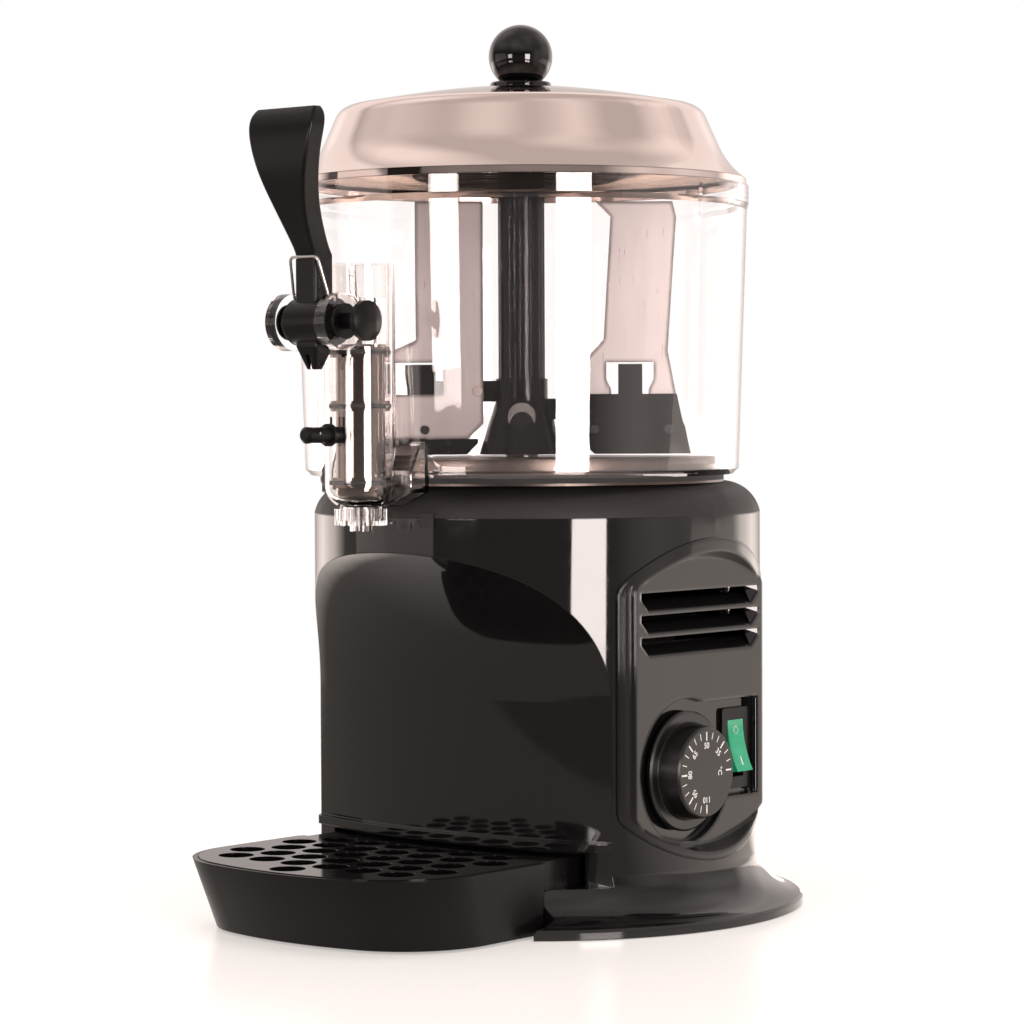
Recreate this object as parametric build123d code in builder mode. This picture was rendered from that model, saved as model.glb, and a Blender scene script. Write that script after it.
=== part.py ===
from build123d import *
import os
from math import cos, pi, radians, sin, sqrt

# Table-top hot drinks dispenser, in millimetres. The origin is the body axis at table height.
# The front with the tap and the tray faces -Y, the control panel faces +X.

# Fits shared by the pieces
slip = 0.05
play = 0.4

# Body shell
body_radius = 117.7
body_wall = 3.0
body_top_z = 206.0
top_rim_width = 24.7
top_hole_radius = body_radius - top_rim_width
flare_spread = 22.3
flare_radius = body_radius + flare_spread
flare_edge = 1.5
flare_rim_height = 5.0
flare_start_z = 28.0

# Bulging front wall, scooped forward at the top into an arch
niche_depth = 39.7
front_wall_y = niche_depth - body_radius
front_wall_radius = 323.0
scoop_drop = 93.0
scoop_start_z = body_top_z - scoop_drop
scoop_radius = 91.0
scoop_sweep = 70.0
ledge_depth = 5.0
shelf_z = 22.0
ledge_rise = 17.5
ledge_low_z = shelf_z + ledge_rise
ledge_height = 4.5
ledge_high_z = ledge_low_z + ledge_height
niche_reach = 90.0

# Tray pocket behind the front wall and bay in the flare
pocket_half_width = 86.0
pocket_depth = 20.0
pocket_back_y = front_wall_y + pocket_depth
ledge_gap = 1.5
pocket_top_z = ledge_low_z - ledge_gap
bay_half_width = 88.0
bay_step = 14.0
bay_back_y = front_wall_y - bay_step

# Base plate, its screws and its rubber pads
base_thickness = 3.0
base_inset = 10.0
base_radius = flare_radius - base_inset
boss_inset = 7.7
boss_circle = body_radius - boss_inset
boss_radius = 6.0
boss_gap = 2.0
boss_top_z = flare_start_z - boss_gap
boss_angles = (-20.0, 60.0, 120.0, 200.0)
base_screw_radius = 1.7
base_screw_head_radius = 3.2
base_screw_length = 13.0
pad_radius = 9.0
pad_depth = 1.8
pad_stem_radius = 3.0
pad_barb_radius = 4.5
pad_inset = 5.7
pad_circle = body_radius - pad_inset
pad_angles = (-42.0, 28.0, 152.0, 222.0)

# Collar ring between body and bowl
collar_height = 16.0
collar_top_z = body_top_z + collar_height
collar_step = 1.0
collar_inner_radius = top_hole_radius + collar_step
collar_flat = 4.0
collar_top_radius = collar_inner_radius + collar_flat
clip_width = 7.4
clip_drop = 4.3
clip_low_z = body_top_z - clip_drop
clip_rise = 2.5
clip_top_z = body_top_z + clip_rise
clip_turn = 12.5
clip_thick = 1.8

# Bowl, set forward of the body axis
bowl_y = -12.2
bowl_wall = 3.0
bowl_gap = 4.0
bowl_skirt_z = collar_top_z + bowl_gap
bowl_foot_inset = 3.9
bowl_foot_radius = body_radius - bowl_foot_inset
bowl_skirt_width = 6.8
bowl_skirt_radius = bowl_foot_radius - bowl_skirt_width
bowl_foot_round = 3.0
bowl_skirt_height = 3.6
bowl_seat_z = bowl_skirt_z + bowl_skirt_height
bowl_lip_thick = 2.4
bowl_floor_z = bowl_seat_z + bowl_lip_thick
bowl_lip_width = 11.5
bowl_hole_radius = bowl_foot_radius - bowl_lip_width
bowl_depth = 135.0
bowl_band_z = bowl_floor_z + bowl_depth
bowl_flare = 1.6
bowl_band_radius = body_radius + bowl_flare
bowl_rim_width = 4.8
bowl_bore_radius = bowl_band_radius - bowl_rim_width
bowl_neck_step = 0.9
bowl_neck_radius = bowl_band_radius - bowl_neck_step
bowl_rim_height = 9.0
bowl_top_z = bowl_band_z + bowl_rim_height
upstand_inset = 3.1
upstand_radius = bowl_band_radius - upstand_inset
upstand = 3.0
groove_count = 3
groove_pitch = 2.5
groove_depth = 0.5
groove_width = 0.9

# Boiler dish that forms the bowl's floor, gasket, tank and element
dish_sheet = 1.2
dish_rise = 3.2
dish_top_z = bowl_floor_z + dish_rise
dish_gap = 0.8
dish_radius = bowl_hole_radius - dish_gap
gasket_gap = 1.0
dish_flange_radius = bowl_skirt_radius - gasket_gap
dish_flange_width = 9.5
dish_flange_inner = dish_radius - dish_flange_width
standpipe_radius = 8.5
standpipe_bore = 7.0
standpipe_drop = 24.0
standpipe_top_z = bowl_top_z - standpipe_drop
tank_inset = 41.7
tank_radius = body_radius - tank_inset
tank_sheet = 1.5
tank_drop = 34.0
tank_bottom_z = body_top_z - tank_drop
element_inset = 24.0
element_circle = tank_radius - element_inset
element_radius = 4.5
element_rise = 14.0
element_z = tank_bottom_z + element_rise
element_leg_radius = 3.5
element_leg_drop = 20.0
element_leg_turn = 8.0

# Drive: bracket hung on posts, gearbox, motor and shaft
bracket_drop = 56.0
bracket_top_z = body_top_z - bracket_drop
bracket_sheet = 2.5
post_radius = 4.0
post_inset = 35.7
post_half_width = body_radius - post_inset
post_step = 24.0
post_back_y = post_half_width - post_step
post_front_y = -48.0
bracket_margin = 9.0
gearbox_width = 84.0
gearbox_front_y = -42.0
gearbox_back_y = 70.0
gearbox_height = 38.0
gearbox_corner = 8.0
motor_radius = 30.0
motor_length = 54.0
motor_y = 34.0
motor_cap_radius = 14.0
motor_cap_height = 6.0
shaft_radius = 5.0
shaft_depth = 32.0
shaft_low_z = bracket_top_z - shaft_depth
shaft_rise = 14.0
shaft_top_z = standpipe_top_z + shaft_rise
bush_length = 12.0
bush_flange_radius = 8.4
bush_flange = 2.0

# Stirrer, drawn in one upright plane turned from the X axis
stir_turn = 40.0
stir_gap = 1.6
hub_base_z = dish_top_z + stir_gap
hub_base_radius = 22.6
bell_height = 28.2
hub_neck_z = hub_base_z + bell_height
hub_neck_radius = 13.6
hub_wall = 2.4
hub_collar_height = 11.5
hub_top_z = hub_neck_z + hub_collar_height
column_radius = 12.2
column_bore = 9.3
cap_gap = 6.0
column_cap_z = standpipe_top_z + cap_gap
cap_height = 14.0
column_top_z = column_cap_z + cap_height
flute_count = 14
flute_radius = 1.4
arm_height = 11.0
inner_arm_drop = 0.5
inner_arm_z = hub_neck_z - inner_arm_drop
outer_arm_drop = 10.0
outer_arm_z = hub_neck_z - outer_arm_drop
arm_half_thick = 3.0
window_half_width = 7.4
window_drop = 8.5
window_z = hub_neck_z - window_drop
foot_low_z = hub_base_z
foot_height = 31.5
foot_top_z = foot_low_z + foot_height
foot_corner = 6.0
tongue_height = 15.7
tongue_top_z = foot_top_z + tongue_height
tongue_width = 12.6
blade_sheet = 1.2
blade_drop = 2.5
blade_top_z = column_top_z - blade_drop
blade_rise = 8.2
blade_low_z = foot_low_z + blade_rise
blade_corner = 8.0
rivet_radius = 1.3
rivet_head_radius = 2.4
rivet_head = 0.9
outer_foot_in = 32.1
outer_foot_out = 88.2
outer_foot_shoulder = 81.4
outer_tongue = 57.0
outer_edge_low = 77.0
outer_edge_high = 81.6
outer_neck_low = 43.2
outer_neck_high = 47.0
inner_foot_in = -23.0
inner_foot_step = -45.0
inner_foot_out = -84.0
inner_foot_shoulder = -79.0
inner_tongue = -54.0
inner_edge = -20.2
inner_neck = -55.8
inner_flare = -76.0
neck_gap = 0.8
neck_flare_z = tongue_top_z + neck_gap
neck_slope = 12.2
neck_end_z = neck_flare_z + neck_slope
notch_gap = 3.6
notch_bulge = 2.6
notch_depth = 6.3
notch_low_z = foot_top_z - notch_depth
notch_head = 1.0
notch_top_z = tongue_top_z + notch_head

# Lid
lid_sheet = 1.2
lid_rim_inset = 1.0
lid_rim_radius = bowl_band_radius - lid_rim_inset
lid_edge_inset = 0.3
lid_edge_rise = 3.8
lid_edge = (lid_rim_radius - lid_edge_inset, bowl_top_z + lid_edge_rise)
lid_flare_inset = 8.6
lid_flare_rise = 11.6
lid_flare_mid = (lid_rim_radius - lid_flare_inset, bowl_top_z + lid_flare_rise)
lid_side_inset = 15.3
lid_side_rise = 23.0
lid_side_low = (lid_rim_radius - lid_side_inset, bowl_top_z + lid_side_rise)
lid_slope_inset = 21.1
lid_slope_rise = 36.0
lid_side_high = (lid_rim_radius - lid_slope_inset, bowl_top_z + lid_slope_rise)
lid_bend_inset = 23.9
lid_bend_rise = 39.9
lid_shoulder_mid = (lid_rim_radius - lid_bend_inset, bowl_top_z + lid_bend_rise)
lid_crown_inset = 30.3
lid_crown_rise = 42.2
lid_shoulder_end = (lid_rim_radius - lid_crown_inset, bowl_top_z + lid_crown_rise)
lid_dome_radius = 60.0
lid_dome_rise = 47.2
lid_dome_mid = (lid_dome_radius, bowl_top_z + lid_dome_rise)
lid_top_radius = 17.5
lid_height = 52.4
lid_top_z = bowl_top_z + lid_height
knob_radius = 16.7
knob_rise = 16.2
knob_centre_z = lid_top_z + knob_rise
knob_flange_radius = 16.0
knob_flange_thick = 2.8
knob_flange_top_z = lid_top_z + knob_flange_thick
knob_flange_edge = 0.8
lid_screw_radius = 2.5
lid_screw_head_radius = 5.0
lid_screw_head = 2.5
lid_screw_reach = 1.4
lid_screw_top_z = knob_centre_z + lid_screw_reach

# Tap housing on the bowl's front
tap_reach = 10.5
tap_y = bowl_y - bowl_foot_radius - tap_reach
tap_radius = 17.8
tap_bore = 16.2
tap_drop = 34.6
tap_top_z = bowl_band_z - tap_drop
tap_depth = 17.5
tap_floor_z = bowl_floor_z - tap_depth
tap_floor_radius = 9.4
tap_shoulder_rise = 8.2
tap_shoulder_z = tap_floor_z + tap_shoulder_rise
tap_floor_thick = 2.6
tap_bottom_z = tap_floor_z - tap_floor_thick
tap_neck_radius = 10.5
tap_neck_drop = 9.5
tap_neck_z = tap_floor_z - tap_neck_drop
outlet_radius = 6.5
port_half_width = 16.0
port_start = 7.5
port_front_y = tap_y + port_start
port_depth = 7.0
port_back_y = port_front_y + port_depth
port_rise = 1.3
port_low_z = tap_floor_z + port_rise
port_height = 6.2
port_high_z = port_low_z + port_height

# Outlet sump that leads from the bowl's floor to the tap
sump_half_width = 30.0
sump_floor_half = 14.0
sump_back_reach = 17.3
sump_back_y = tap_y + sump_back_reach
sump_front_reach = 3.5
sump_front_y = tap_y + sump_front_reach
sump_roof_reach = 12.5
sump_roof_y = tap_y + sump_roof_reach
sump_drop = 2.5
sump_floor_z = tap_floor_z - sump_drop
sump_bilge = 7.0
sump_rise_z = sump_floor_z + sump_bilge
sump_front_height = 18.0
sump_front_z = sump_floor_z + sump_front_height
sump_height = 32.0
sump_top_z = sump_floor_z + sump_height
sump_wall = 2.0

# Pivot ears, bushes, washers and pull pin
pivot_reach = 32.5
pivot_y = tap_y - pivot_reach
pivot_drop = 29.2
pivot_z = tap_top_z - pivot_drop
ear_inner_x = 13.0
ear_web = 4.8
ear_web_x = ear_inner_x + ear_web
ear_boss = 2.2
ear_outer_x = ear_web_x + ear_boss
ear_radius = 14.0
ear_hole_radius = 5.6
ear_web_half_height = 12.0
bush_collar_radius = 8.8
bush_collar = 1.2
pin_radius = 3.0
pin_overhang = 2.0
pin_end_x = -ear_outer_x - pin_overhang
pin_neck_radius = 4.0
pin_gap = 0.4
pin_neck_x = ear_outer_x + bush_collar + pin_gap
pin_neck_length = 11.4
pin_disc_x = pin_neck_x + pin_neck_length
pin_disc_radius = 9.8
pin_disc_edge = 3.0
pin_dome = 2.4

# Lever with tail, washers and wire bail
hub_radius = 11.7
stem_half_width = 7.0
stem_half_depth = 6.5
stem_drop = 12.2
stem_low_z = pivot_z - stem_drop
stem_corner = 1.6
tail_drop = 23.2
tail_tip_z = pivot_z - tail_drop
tail_half_width = 3.4
tail_half_depth = 2.6
tail_pin_rise = 2.5
tail_pin_z = tail_tip_z + tail_pin_rise
stem_rise = 32.8
paddle_start_z = pivot_z + stem_rise
paddle_height = 70.4
paddle_top_z = paddle_start_z + paddle_height
paddle_lean = 17.9
paddle_swing = 1.35
paddle_half_width = 22.0
paddle_half_depth = 5.0
paddle_steps = 6
paddle_shoulder = 0.88
bail_wire = 0.8
bail_inset = 1.6
bail_leg_x = ear_inner_x - bail_inset
bail_lean = 2.15
bail_half_width = bail_leg_x - bail_lean
bail_height = 31.6
bail_z = pivot_z + bail_height
bail_bend = 3.0
bail_straight = 11.0
eye_half_thick = 0.9
eye_bore = 3.6
eye_radius = 5.2
washer_radius = 10.0
washer_gap = 0.1

# Piston, tongue bar and link wire
piston_radius = 12.2
piston_foot_radius = 8.9
piston_foot_height = 2.7
piston_foot_z = tap_floor_z + piston_foot_height
piston_height = 78.0
piston_top_z = tap_floor_z + piston_height
seal_low_rise = 9.5
seal_low_z = tap_floor_z + seal_low_rise
seal_mid_rise = 47.5
seal_mid_z = tap_floor_z + seal_mid_rise
seal_high_drop = 3.9
seal_high_z = piston_top_z - seal_high_drop
seal_wire = 1.3
seal_radius = 15.8
seal_collar_radius = 15.0
seal_collar_height = 5.2
bar_radius = 4.1
bar_rise = 33.3
bar_z = tap_floor_z + bar_rise
bar_nose = 8.0
bar_front_y = pivot_y - bar_nose
bar_flange_radius = 5.6
bar_flange_reach = 10.5
bar_flange_y = pivot_y + bar_flange_reach
bar_flange = 2.0
bar_round = 1.5
link_pin_radius = 0.8
link_wire_radius = 0.5
link_half_gap = 2.2
link_slot = 2.6
bar_pin_rise = 0.8
bar_pin_z = bar_z + bar_pin_rise
bar_slot_length = 9.0
lever_swing = 30.0

# Nozzle cap
nozzle_grip = 6.0
nozzle_top_z = tap_neck_z + nozzle_grip
nozzle_floor = 2.2
nozzle_low_z = tap_neck_z - nozzle_floor
nozzle_wall = 2.2
nozzle_radius = tap_neck_radius + nozzle_wall
nozzle_rib_count = 20
nozzle_rib = 0.7
nozzle_tip_radius = 5.6
nozzle_tip = 3.0
nozzle_tip_z = nozzle_low_z - nozzle_tip
nozzle_bore = 4.2

# Control panel
panel_half_width = 60.4
panel_low_z = 31.0
panel_drop = 11.0
panel_high_z = body_top_z - panel_drop
panel_rise = 24.0
panel_corner = 12.0
panel_lip = 3.0
panel_proud = 1.3
panel_depth = 9.2
panel_face_x = body_radius - panel_depth
panel_thick = 8.5
panel_back_x = panel_face_x - panel_thick
panel_room = 8.0
panel_opening_x = panel_back_x - panel_room
face_inset = 7.9
face_half_width = panel_half_width - face_inset
face_low_inset = 7.5
face_low_z = panel_low_z + face_low_inset
face_high_inset = 10.5
face_high_z = panel_high_z - face_high_inset
face_rise = 14.0
face_corner = 7.0
face_flare = 4.0
face_edge = 1.5
vent_count = 3
vent_pitch = 11.25
vent_drop = 16.3
vent_top_z = face_high_z - vent_drop
vent_height = 9.4
vent_inset = 3.5
vent_half_width = face_half_width - vent_inset
vent_chamfer = 6.0
vent_throat = 3.2
recess_floor = 4.0
recess_x = panel_back_x + recess_floor
recess_inset = 5.5
recess_right_y = face_half_width - recess_inset
recess_low_z = 60.2
recess_height = 50.6
recess_top_z = recess_low_z + recess_height
recess_step = 1.6
well_radius = 37.0
well_margin = 1.5

# Thermostat and switch
dial_y = bowl_y
dial_z = 76.5
dial_gap = 2.8
dial_back_x = recess_x + dial_gap
dial_skirt = 2.6
dial_skirt_x = dial_back_x + dial_skirt
dial_grip_height = 11.8
dial_face_x = dial_skirt_x + dial_grip_height
dial_skirt_radius = 30.5
dial_ledge = 5.5
dial_grip_radius = dial_skirt_radius - dial_ledge
dial_taper = 2.0
dial_face_radius = dial_grip_radius - dial_taper
dial_edge = 1.0
spindle_radius = 3.0
spindle_depth = 16.0
spindle_back_x = panel_back_x - spindle_depth
spindle_cover = 3.2
spindle_front_x = dial_face_x - spindle_cover
stat_width = 38.0
stat_height = 34.0
stat_depth = 24.0
stat_back_x = panel_back_x - stat_depth
sleeve_radius = 5.0
nut_radius = 7.5
nut_height = 2.2
switch_inset = 14.5
switch_y = recess_right_y - switch_inset
switch_z = 84.5
bezel_width = 22.6
bezel_height = 42.0
bezel_thick = 2.0
bezel_corner = 2.0
switch_width = 18.0
switch_height = 33.0
switch_depth = 14.0
switch_back_x = panel_back_x - switch_depth
switch_well = 7.5
switch_well_x = recess_x - switch_well
rocker_width = 13.0
rocker_height = 27.0
rocker_sink = 1.0
rocker_axis_x = recess_x - rocker_sink
rocker_front = 6.4
rocker_dip = 1.6
rocker_depth = 2.4
rocker_tilt = 14.0
rocker_room = 1.4
rocker_pin_radius = 1.5
rocker_pin_half = 8.2

# Drip tray and grid
tray_top_gap = 1.5
tray_rim_z = pocket_top_z - tray_top_gap
tray_foot_z = 1.0
tray_side_gap = 3.2
tray_half = bay_half_width - tray_side_gap
tray_gap = 3.0
tray_back_y = bay_back_y - tray_gap
tray_length = 110.0
tray_front_y = tray_back_y - tray_length
tray_bow = 18.0
tray_corner = 50.0
tray_draft = 14.0
tray_side_draft = 3.0
tray_wall = 2.6
tray_floor = 2.5
grid_ledge = 3.0
grid_thick = 2.8
grid_proud = 0.4
grid_gap = 9.0
grid_back_y = front_wall_y - grid_gap
deck_gap = 6.0
deck_half_width = pocket_half_width - deck_gap
deck_clear = 3.0
deck_back_y = pocket_back_y - deck_clear
hole_radius = 9.0
hole_pitch = 21.8
hole_margin = 3.0
first_row_inset = 15.0

# Cable gland at the back
gland_z = 48.0
gland_radius = 7.5
gland_flange_radius = 11.0
gland_reach = 5.3
gland_end_y = body_radius + gland_reach
gland_bore = 3.75
gland_depth = 8.2
gland_inner_y = body_radius - gland_depth
gland_nut_radius = 10.5
gland_nut_thick = 4.0

# Planes and axes of the bowl, the tap, the front wall, the stirrer and the controls
body_axis = Axis.Z
bowl_plane = Plane(origin=(0, bowl_y, 0), x_dir=(1, 0, 0), z_dir=(0, -1, 0))
bowl_axis = Axis((0, bowl_y, 0), (0, 0, 1))
tap_plane = Plane(origin=(0, tap_y, 0), x_dir=(1, 0, 0), z_dir=(0, -1, 0))
tap_axis = Axis((0, tap_y, 0), (0, 0, 1))
niche_y = front_wall_y + front_wall_radius
niche_plane = Plane(origin=(0, niche_y, 0), x_dir=(0, -1, 0), z_dir=(-1, 0, 0))
niche_axis = Axis((0, niche_y, 0), (0, 0, 1))
stir_plane = Plane(
    origin=(0, bowl_y, 0),
    x_dir=(cos(radians(stir_turn)), sin(radians(stir_turn)), 0),
    z_dir=(sin(radians(stir_turn)), -cos(radians(stir_turn)), 0),
)
dial_plane = Plane(origin=(0, dial_y, dial_z), x_dir=(0, 1, 0), z_dir=(1, 0, 0))
dial_profile = Plane(origin=(0, dial_y, dial_z), x_dir=(0, 1, 0), z_dir=(0, 0, -1))
dial_axis = Axis((0, dial_y, dial_z), (1, 0, 0))
switch_plane = Plane(origin=(0, switch_y, switch_z), x_dir=(0, 1, 0), z_dir=(1, 0, 0))
pivot_plane = Plane(origin=(0, pivot_y, pivot_z), x_dir=(0, 1, 0), z_dir=(1, 0, 0))
pivot_profile = Plane(origin=(0, pivot_y, pivot_z), x_dir=(0, 1, 0), z_dir=(0, 0, -1))
pivot_axis = Axis((0, pivot_y, pivot_z), (1, 0, 0))

# Rise of the tap's piston at the end of the lever's swing
tail_arm = pivot_z - tail_pin_z
link_length = tail_pin_z - bar_pin_z
tail_back = tail_arm * sin(radians(lever_swing))
link_rise = link_length - sqrt(link_length**2 - tail_back**2)
piston_stroke = tail_arm * (1 - cos(radians(lever_swing))) + link_rise

os.makedirs("parts", exist_ok=True)


def on_circle(radius, angles):
    """Plan points on a circle about the body axis."""
    return [(radius * cos(radians(angle)), radius * sin(radians(angle))) for angle in angles]


def turned(plane, axis, *outline):
    """Solid turned about an axis from pairs of radius and height."""
    with BuildPart() as lathe:
        with BuildSketch(plane):
            with BuildLine():
                Polyline(*outline, close=True)
            make_face()
        revolve(axis=axis)
    return lathe.part


def niche_space(margin, ledge):
    """Space in front of the bulging wall, grown into the body by margin, around a ledge of that depth."""
    wall_r = front_wall_radius - margin
    floor = shelf_z - margin
    far_r = front_wall_radius + niche_reach
    arc_r = scoop_radius + margin
    arc_x = front_wall_radius + scoop_radius
    end_angle = radians(180 - scoop_sweep)
    end = (arc_x + arc_r * cos(end_angle), scoop_start_z + arc_r * sin(end_angle))
    with BuildPart() as space:
        with BuildSketch(niche_plane):
            with BuildLine():
                Line((wall_r, floor), (wall_r, scoop_start_z))
                CenterArc((arc_x, scoop_start_z), arc_r, 180, -scoop_sweep)
                Polyline(end, (far_r, end[1]), (far_r, floor), (wall_r, floor))
            make_face()
            if ledge > 0:
                with Locations((wall_r, ledge_low_z)):
                    Rectangle(ledge, ledge_high_z - ledge_low_z, align=(Align.MIN, Align.MIN),
                              mode=Mode.SUBTRACT)
        revolve(axis=niche_axis)
    return space.part


def panel_prism(start_x, end_x, half_width, low, high, rise, corner, grow=0.0):
    """Block with straight sides and arched ends between two X positions, wider by grow at the far end."""
    with BuildPart() as prism:
        for x, extra in ((start_x, 0.0), (end_x, grow)):
            half = half_width + extra
            with BuildSketch(Plane.YZ.offset(x)) as outline:
                with BuildLine():
                    Line((-half, low + rise), (-half, high - rise))
                    ThreePointArc((-half, high - rise), (0, high + extra), (half, high - rise))
                    Line((half, high - rise), (half, low + rise))
                    ThreePointArc((half, low + rise), (0, low - extra), (-half, low + rise))
                make_face()
                fillet(outline.vertices(), corner)
        loft(ruled=True)
    return prism.part


def tray_plan(inset, front_pull, side_pull, back_y, z):
    """Plan of the tray at height z, moved in by inset, with front and sides drawn in further."""
    half = tray_half - inset - side_pull
    front = tray_front_y + inset + front_pull
    with BuildSketch(Plane.XY.offset(z)) as plan:
        with BuildLine():
            Polyline((half, front + tray_bow), (half, back_y), (-half, back_y), (-half, front + tray_bow))
            ThreePointArc((-half, front + tray_bow), (0, front), (half, front + tray_bow))
        make_face()
        fillet(plan.vertices().group_by(Axis.Y)[0], tray_corner - inset)
    return plan.sketch


def tray_prism(inset, low, high, drafted, back_y):
    """Block of the tray's plan, moved in by inset, and drawn in towards its foot if drafted."""
    front_pull = tray_draft if drafted else 0.0
    side_pull = tray_side_draft if drafted else 0.0
    foot = tray_plan(inset, front_pull, side_pull, back_y, low)
    rim = tray_plan(inset, 0.0, 0.0, back_y, high)
    with BuildPart() as prism:
        loft(sections=[foot.face(), rim.face()], ruled=True)
    return prism.part


def sump_block(inset):
    """Boat-shaped block in front of the bowl's foot, drawn in by inset."""
    half = sump_half_width - inset
    floor = sump_floor_z + inset
    with BuildPart() as block:
        with BuildSketch(Plane.YZ):
            with BuildLine():
                Polyline((sump_back_y - inset, floor), (sump_front_y + inset, floor),
                         (sump_front_y + inset, sump_front_z - inset), (sump_roof_y, sump_top_z - inset),
                         (sump_back_y - inset, sump_top_z - inset), close=True)
            make_face()
        extrude(amount=half, both=True)
        with BuildSketch(Plane.XZ):
            with BuildLine():
                Polyline((-half, sump_top_z), (-half, sump_rise_z + inset), (-sump_floor_half, floor),
                         (sump_floor_half, floor), (half, sump_rise_z + inset), (half, sump_top_z),
                         close=True)
            make_face()
        extrude(amount=2 * body_radius, mode=Mode.INTERSECT)
    return block.part


def lid_space(inset):
    """Space under the lid's skin, drawn in by inset."""
    edge = (lid_edge[0] - inset, lid_edge[1] - inset * 0.4)
    flare = (lid_flare_mid[0] - inset * 0.8, lid_flare_mid[1] - inset * 0.6)
    low = (lid_side_low[0] - inset * 0.9, lid_side_low[1] - inset * 0.4)
    high = (lid_side_high[0] - inset * 0.9, lid_side_high[1] - inset * 0.4)
    mid = (lid_shoulder_mid[0] - inset * 0.65, lid_shoulder_mid[1] - inset * 0.75)
    end = (lid_shoulder_end[0] - inset * 0.2, lid_shoulder_end[1] - inset)
    dome = (lid_dome_mid[0], lid_dome_mid[1] - inset)
    top = (lid_top_radius, lid_top_z - inset)
    with BuildPart() as space:
        with BuildSketch(bowl_plane):
            with BuildLine():
                Polyline((0, bowl_top_z), (lid_rim_radius - inset, bowl_top_z), edge)
                ThreePointArc(edge, flare, low)
                Line(low, high)
                ThreePointArc(high, mid, end)
                ThreePointArc(end, dome, top)
                Polyline(top, (0, lid_top_z - inset), (0, bowl_top_z))
            make_face()
        revolve(axis=bowl_axis)
    return space.part


# Body shell: turned casing with its flared foot, cut by the niche, the tray pocket and the tray bay
inner_radius = body_radius - body_wall
flare_inner = flare_radius - flare_edge - body_wall
flare_inner_z = flare_rim_height - body_wall
flare_outer = flare_radius - flare_edge
grown_niche = niche_space(body_wall, 0)
with BuildPart() as body_cavity:
    with BuildSketch(Plane.XZ):
        with BuildLine():
            Polyline((0, -flare_edge), (flare_inner, -flare_edge), (flare_inner, flare_inner_z))
            TangentArc((inner_radius, flare_start_z), (flare_inner, flare_inner_z), tangent=(0, -1))
            Polyline((inner_radius, flare_start_z), (inner_radius, body_top_z - body_wall),
                     (0, body_top_z - body_wall), (0, -flare_edge))
        make_face()
    revolve(axis=body_axis)
    add(grown_niche, mode=Mode.SUBTRACT)
    with BuildSketch(Plane.XY.offset(shelf_z - body_wall)):
        with Locations((0, pocket_back_y + body_wall)):
            Rectangle(2 * (pocket_half_width + body_wall), flare_radius, align=(Align.CENTER, Align.MAX))
    extrude(amount=pocket_top_z - shelf_z + 2 * body_wall, mode=Mode.SUBTRACT)
    with BuildSketch(Plane.XY.offset(-flare_edge)):
        with Locations((0, bay_back_y + body_wall)):
            Rectangle(2 * (bay_half_width + body_wall), flare_radius, align=(Align.CENTER, Align.MAX))
    extrude(amount=shelf_z + flare_edge, mode=Mode.SUBTRACT)

panel_opening = panel_prism(
    panel_opening_x, flare_radius, panel_half_width - panel_lip, panel_low_z + panel_lip,
    panel_high_z - panel_lip, panel_rise, panel_corner - panel_lip)
boss_points = on_circle(boss_circle, boss_angles)
open_niche = niche_space(0, ledge_depth)

with BuildPart() as body_shell:
    with BuildSketch(Plane.XZ):
        with BuildLine():
            Polyline((0, 0), (flare_radius, 0), (flare_radius, flare_rim_height - flare_edge),
                     (flare_outer, flare_rim_height))
            TangentArc((body_radius, flare_start_z), (flare_outer, flare_rim_height), tangent=(0, -1))
            Polyline((body_radius, flare_start_z), (body_radius, body_top_z), (0, body_top_z), (0, 0))
        make_face()
    revolve(axis=body_axis)
    add(open_niche, mode=Mode.SUBTRACT)
    with BuildSketch(Plane.XY.offset(shelf_z)):
        with Locations((0, pocket_back_y)):
            Rectangle(2 * pocket_half_width, flare_radius, align=(Align.CENTER, Align.MAX))
    extrude(amount=pocket_top_z - shelf_z, mode=Mode.SUBTRACT)
    with BuildSketch(Plane.XY):
        with Locations((0, bay_back_y)):
            Rectangle(2 * bay_half_width, flare_radius, align=(Align.CENTER, Align.MAX))
    extrude(amount=shelf_z, mode=Mode.SUBTRACT)
    add(body_cavity.part, mode=Mode.SUBTRACT)
    with BuildSketch(Plane.XY.offset(body_top_z - body_wall)):
        Circle(top_hole_radius)
    extrude(amount=body_wall, mode=Mode.SUBTRACT)
    add(panel_opening, mode=Mode.SUBTRACT)
    with BuildSketch(Plane.XY.offset(base_thickness)):
        with Locations(*boss_points):
            Circle(boss_radius)
    extrude(amount=boss_top_z - base_thickness)
    with BuildSketch(Plane.XY.offset(base_thickness)):
        with Locations(*boss_points):
            Circle(base_screw_radius + slip)
    extrude(amount=base_screw_length, mode=Mode.SUBTRACT)
    with BuildSketch(Plane.XZ.offset(-body_radius - body_wall)):
        with Locations((0, gland_z)):
            Circle(gland_radius + slip)
    extrude(amount=3 * body_wall, mode=Mode.SUBTRACT)
body_shell.part.label = "body_shell"
export_step(body_shell.part, "parts/body_shell.step")

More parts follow.
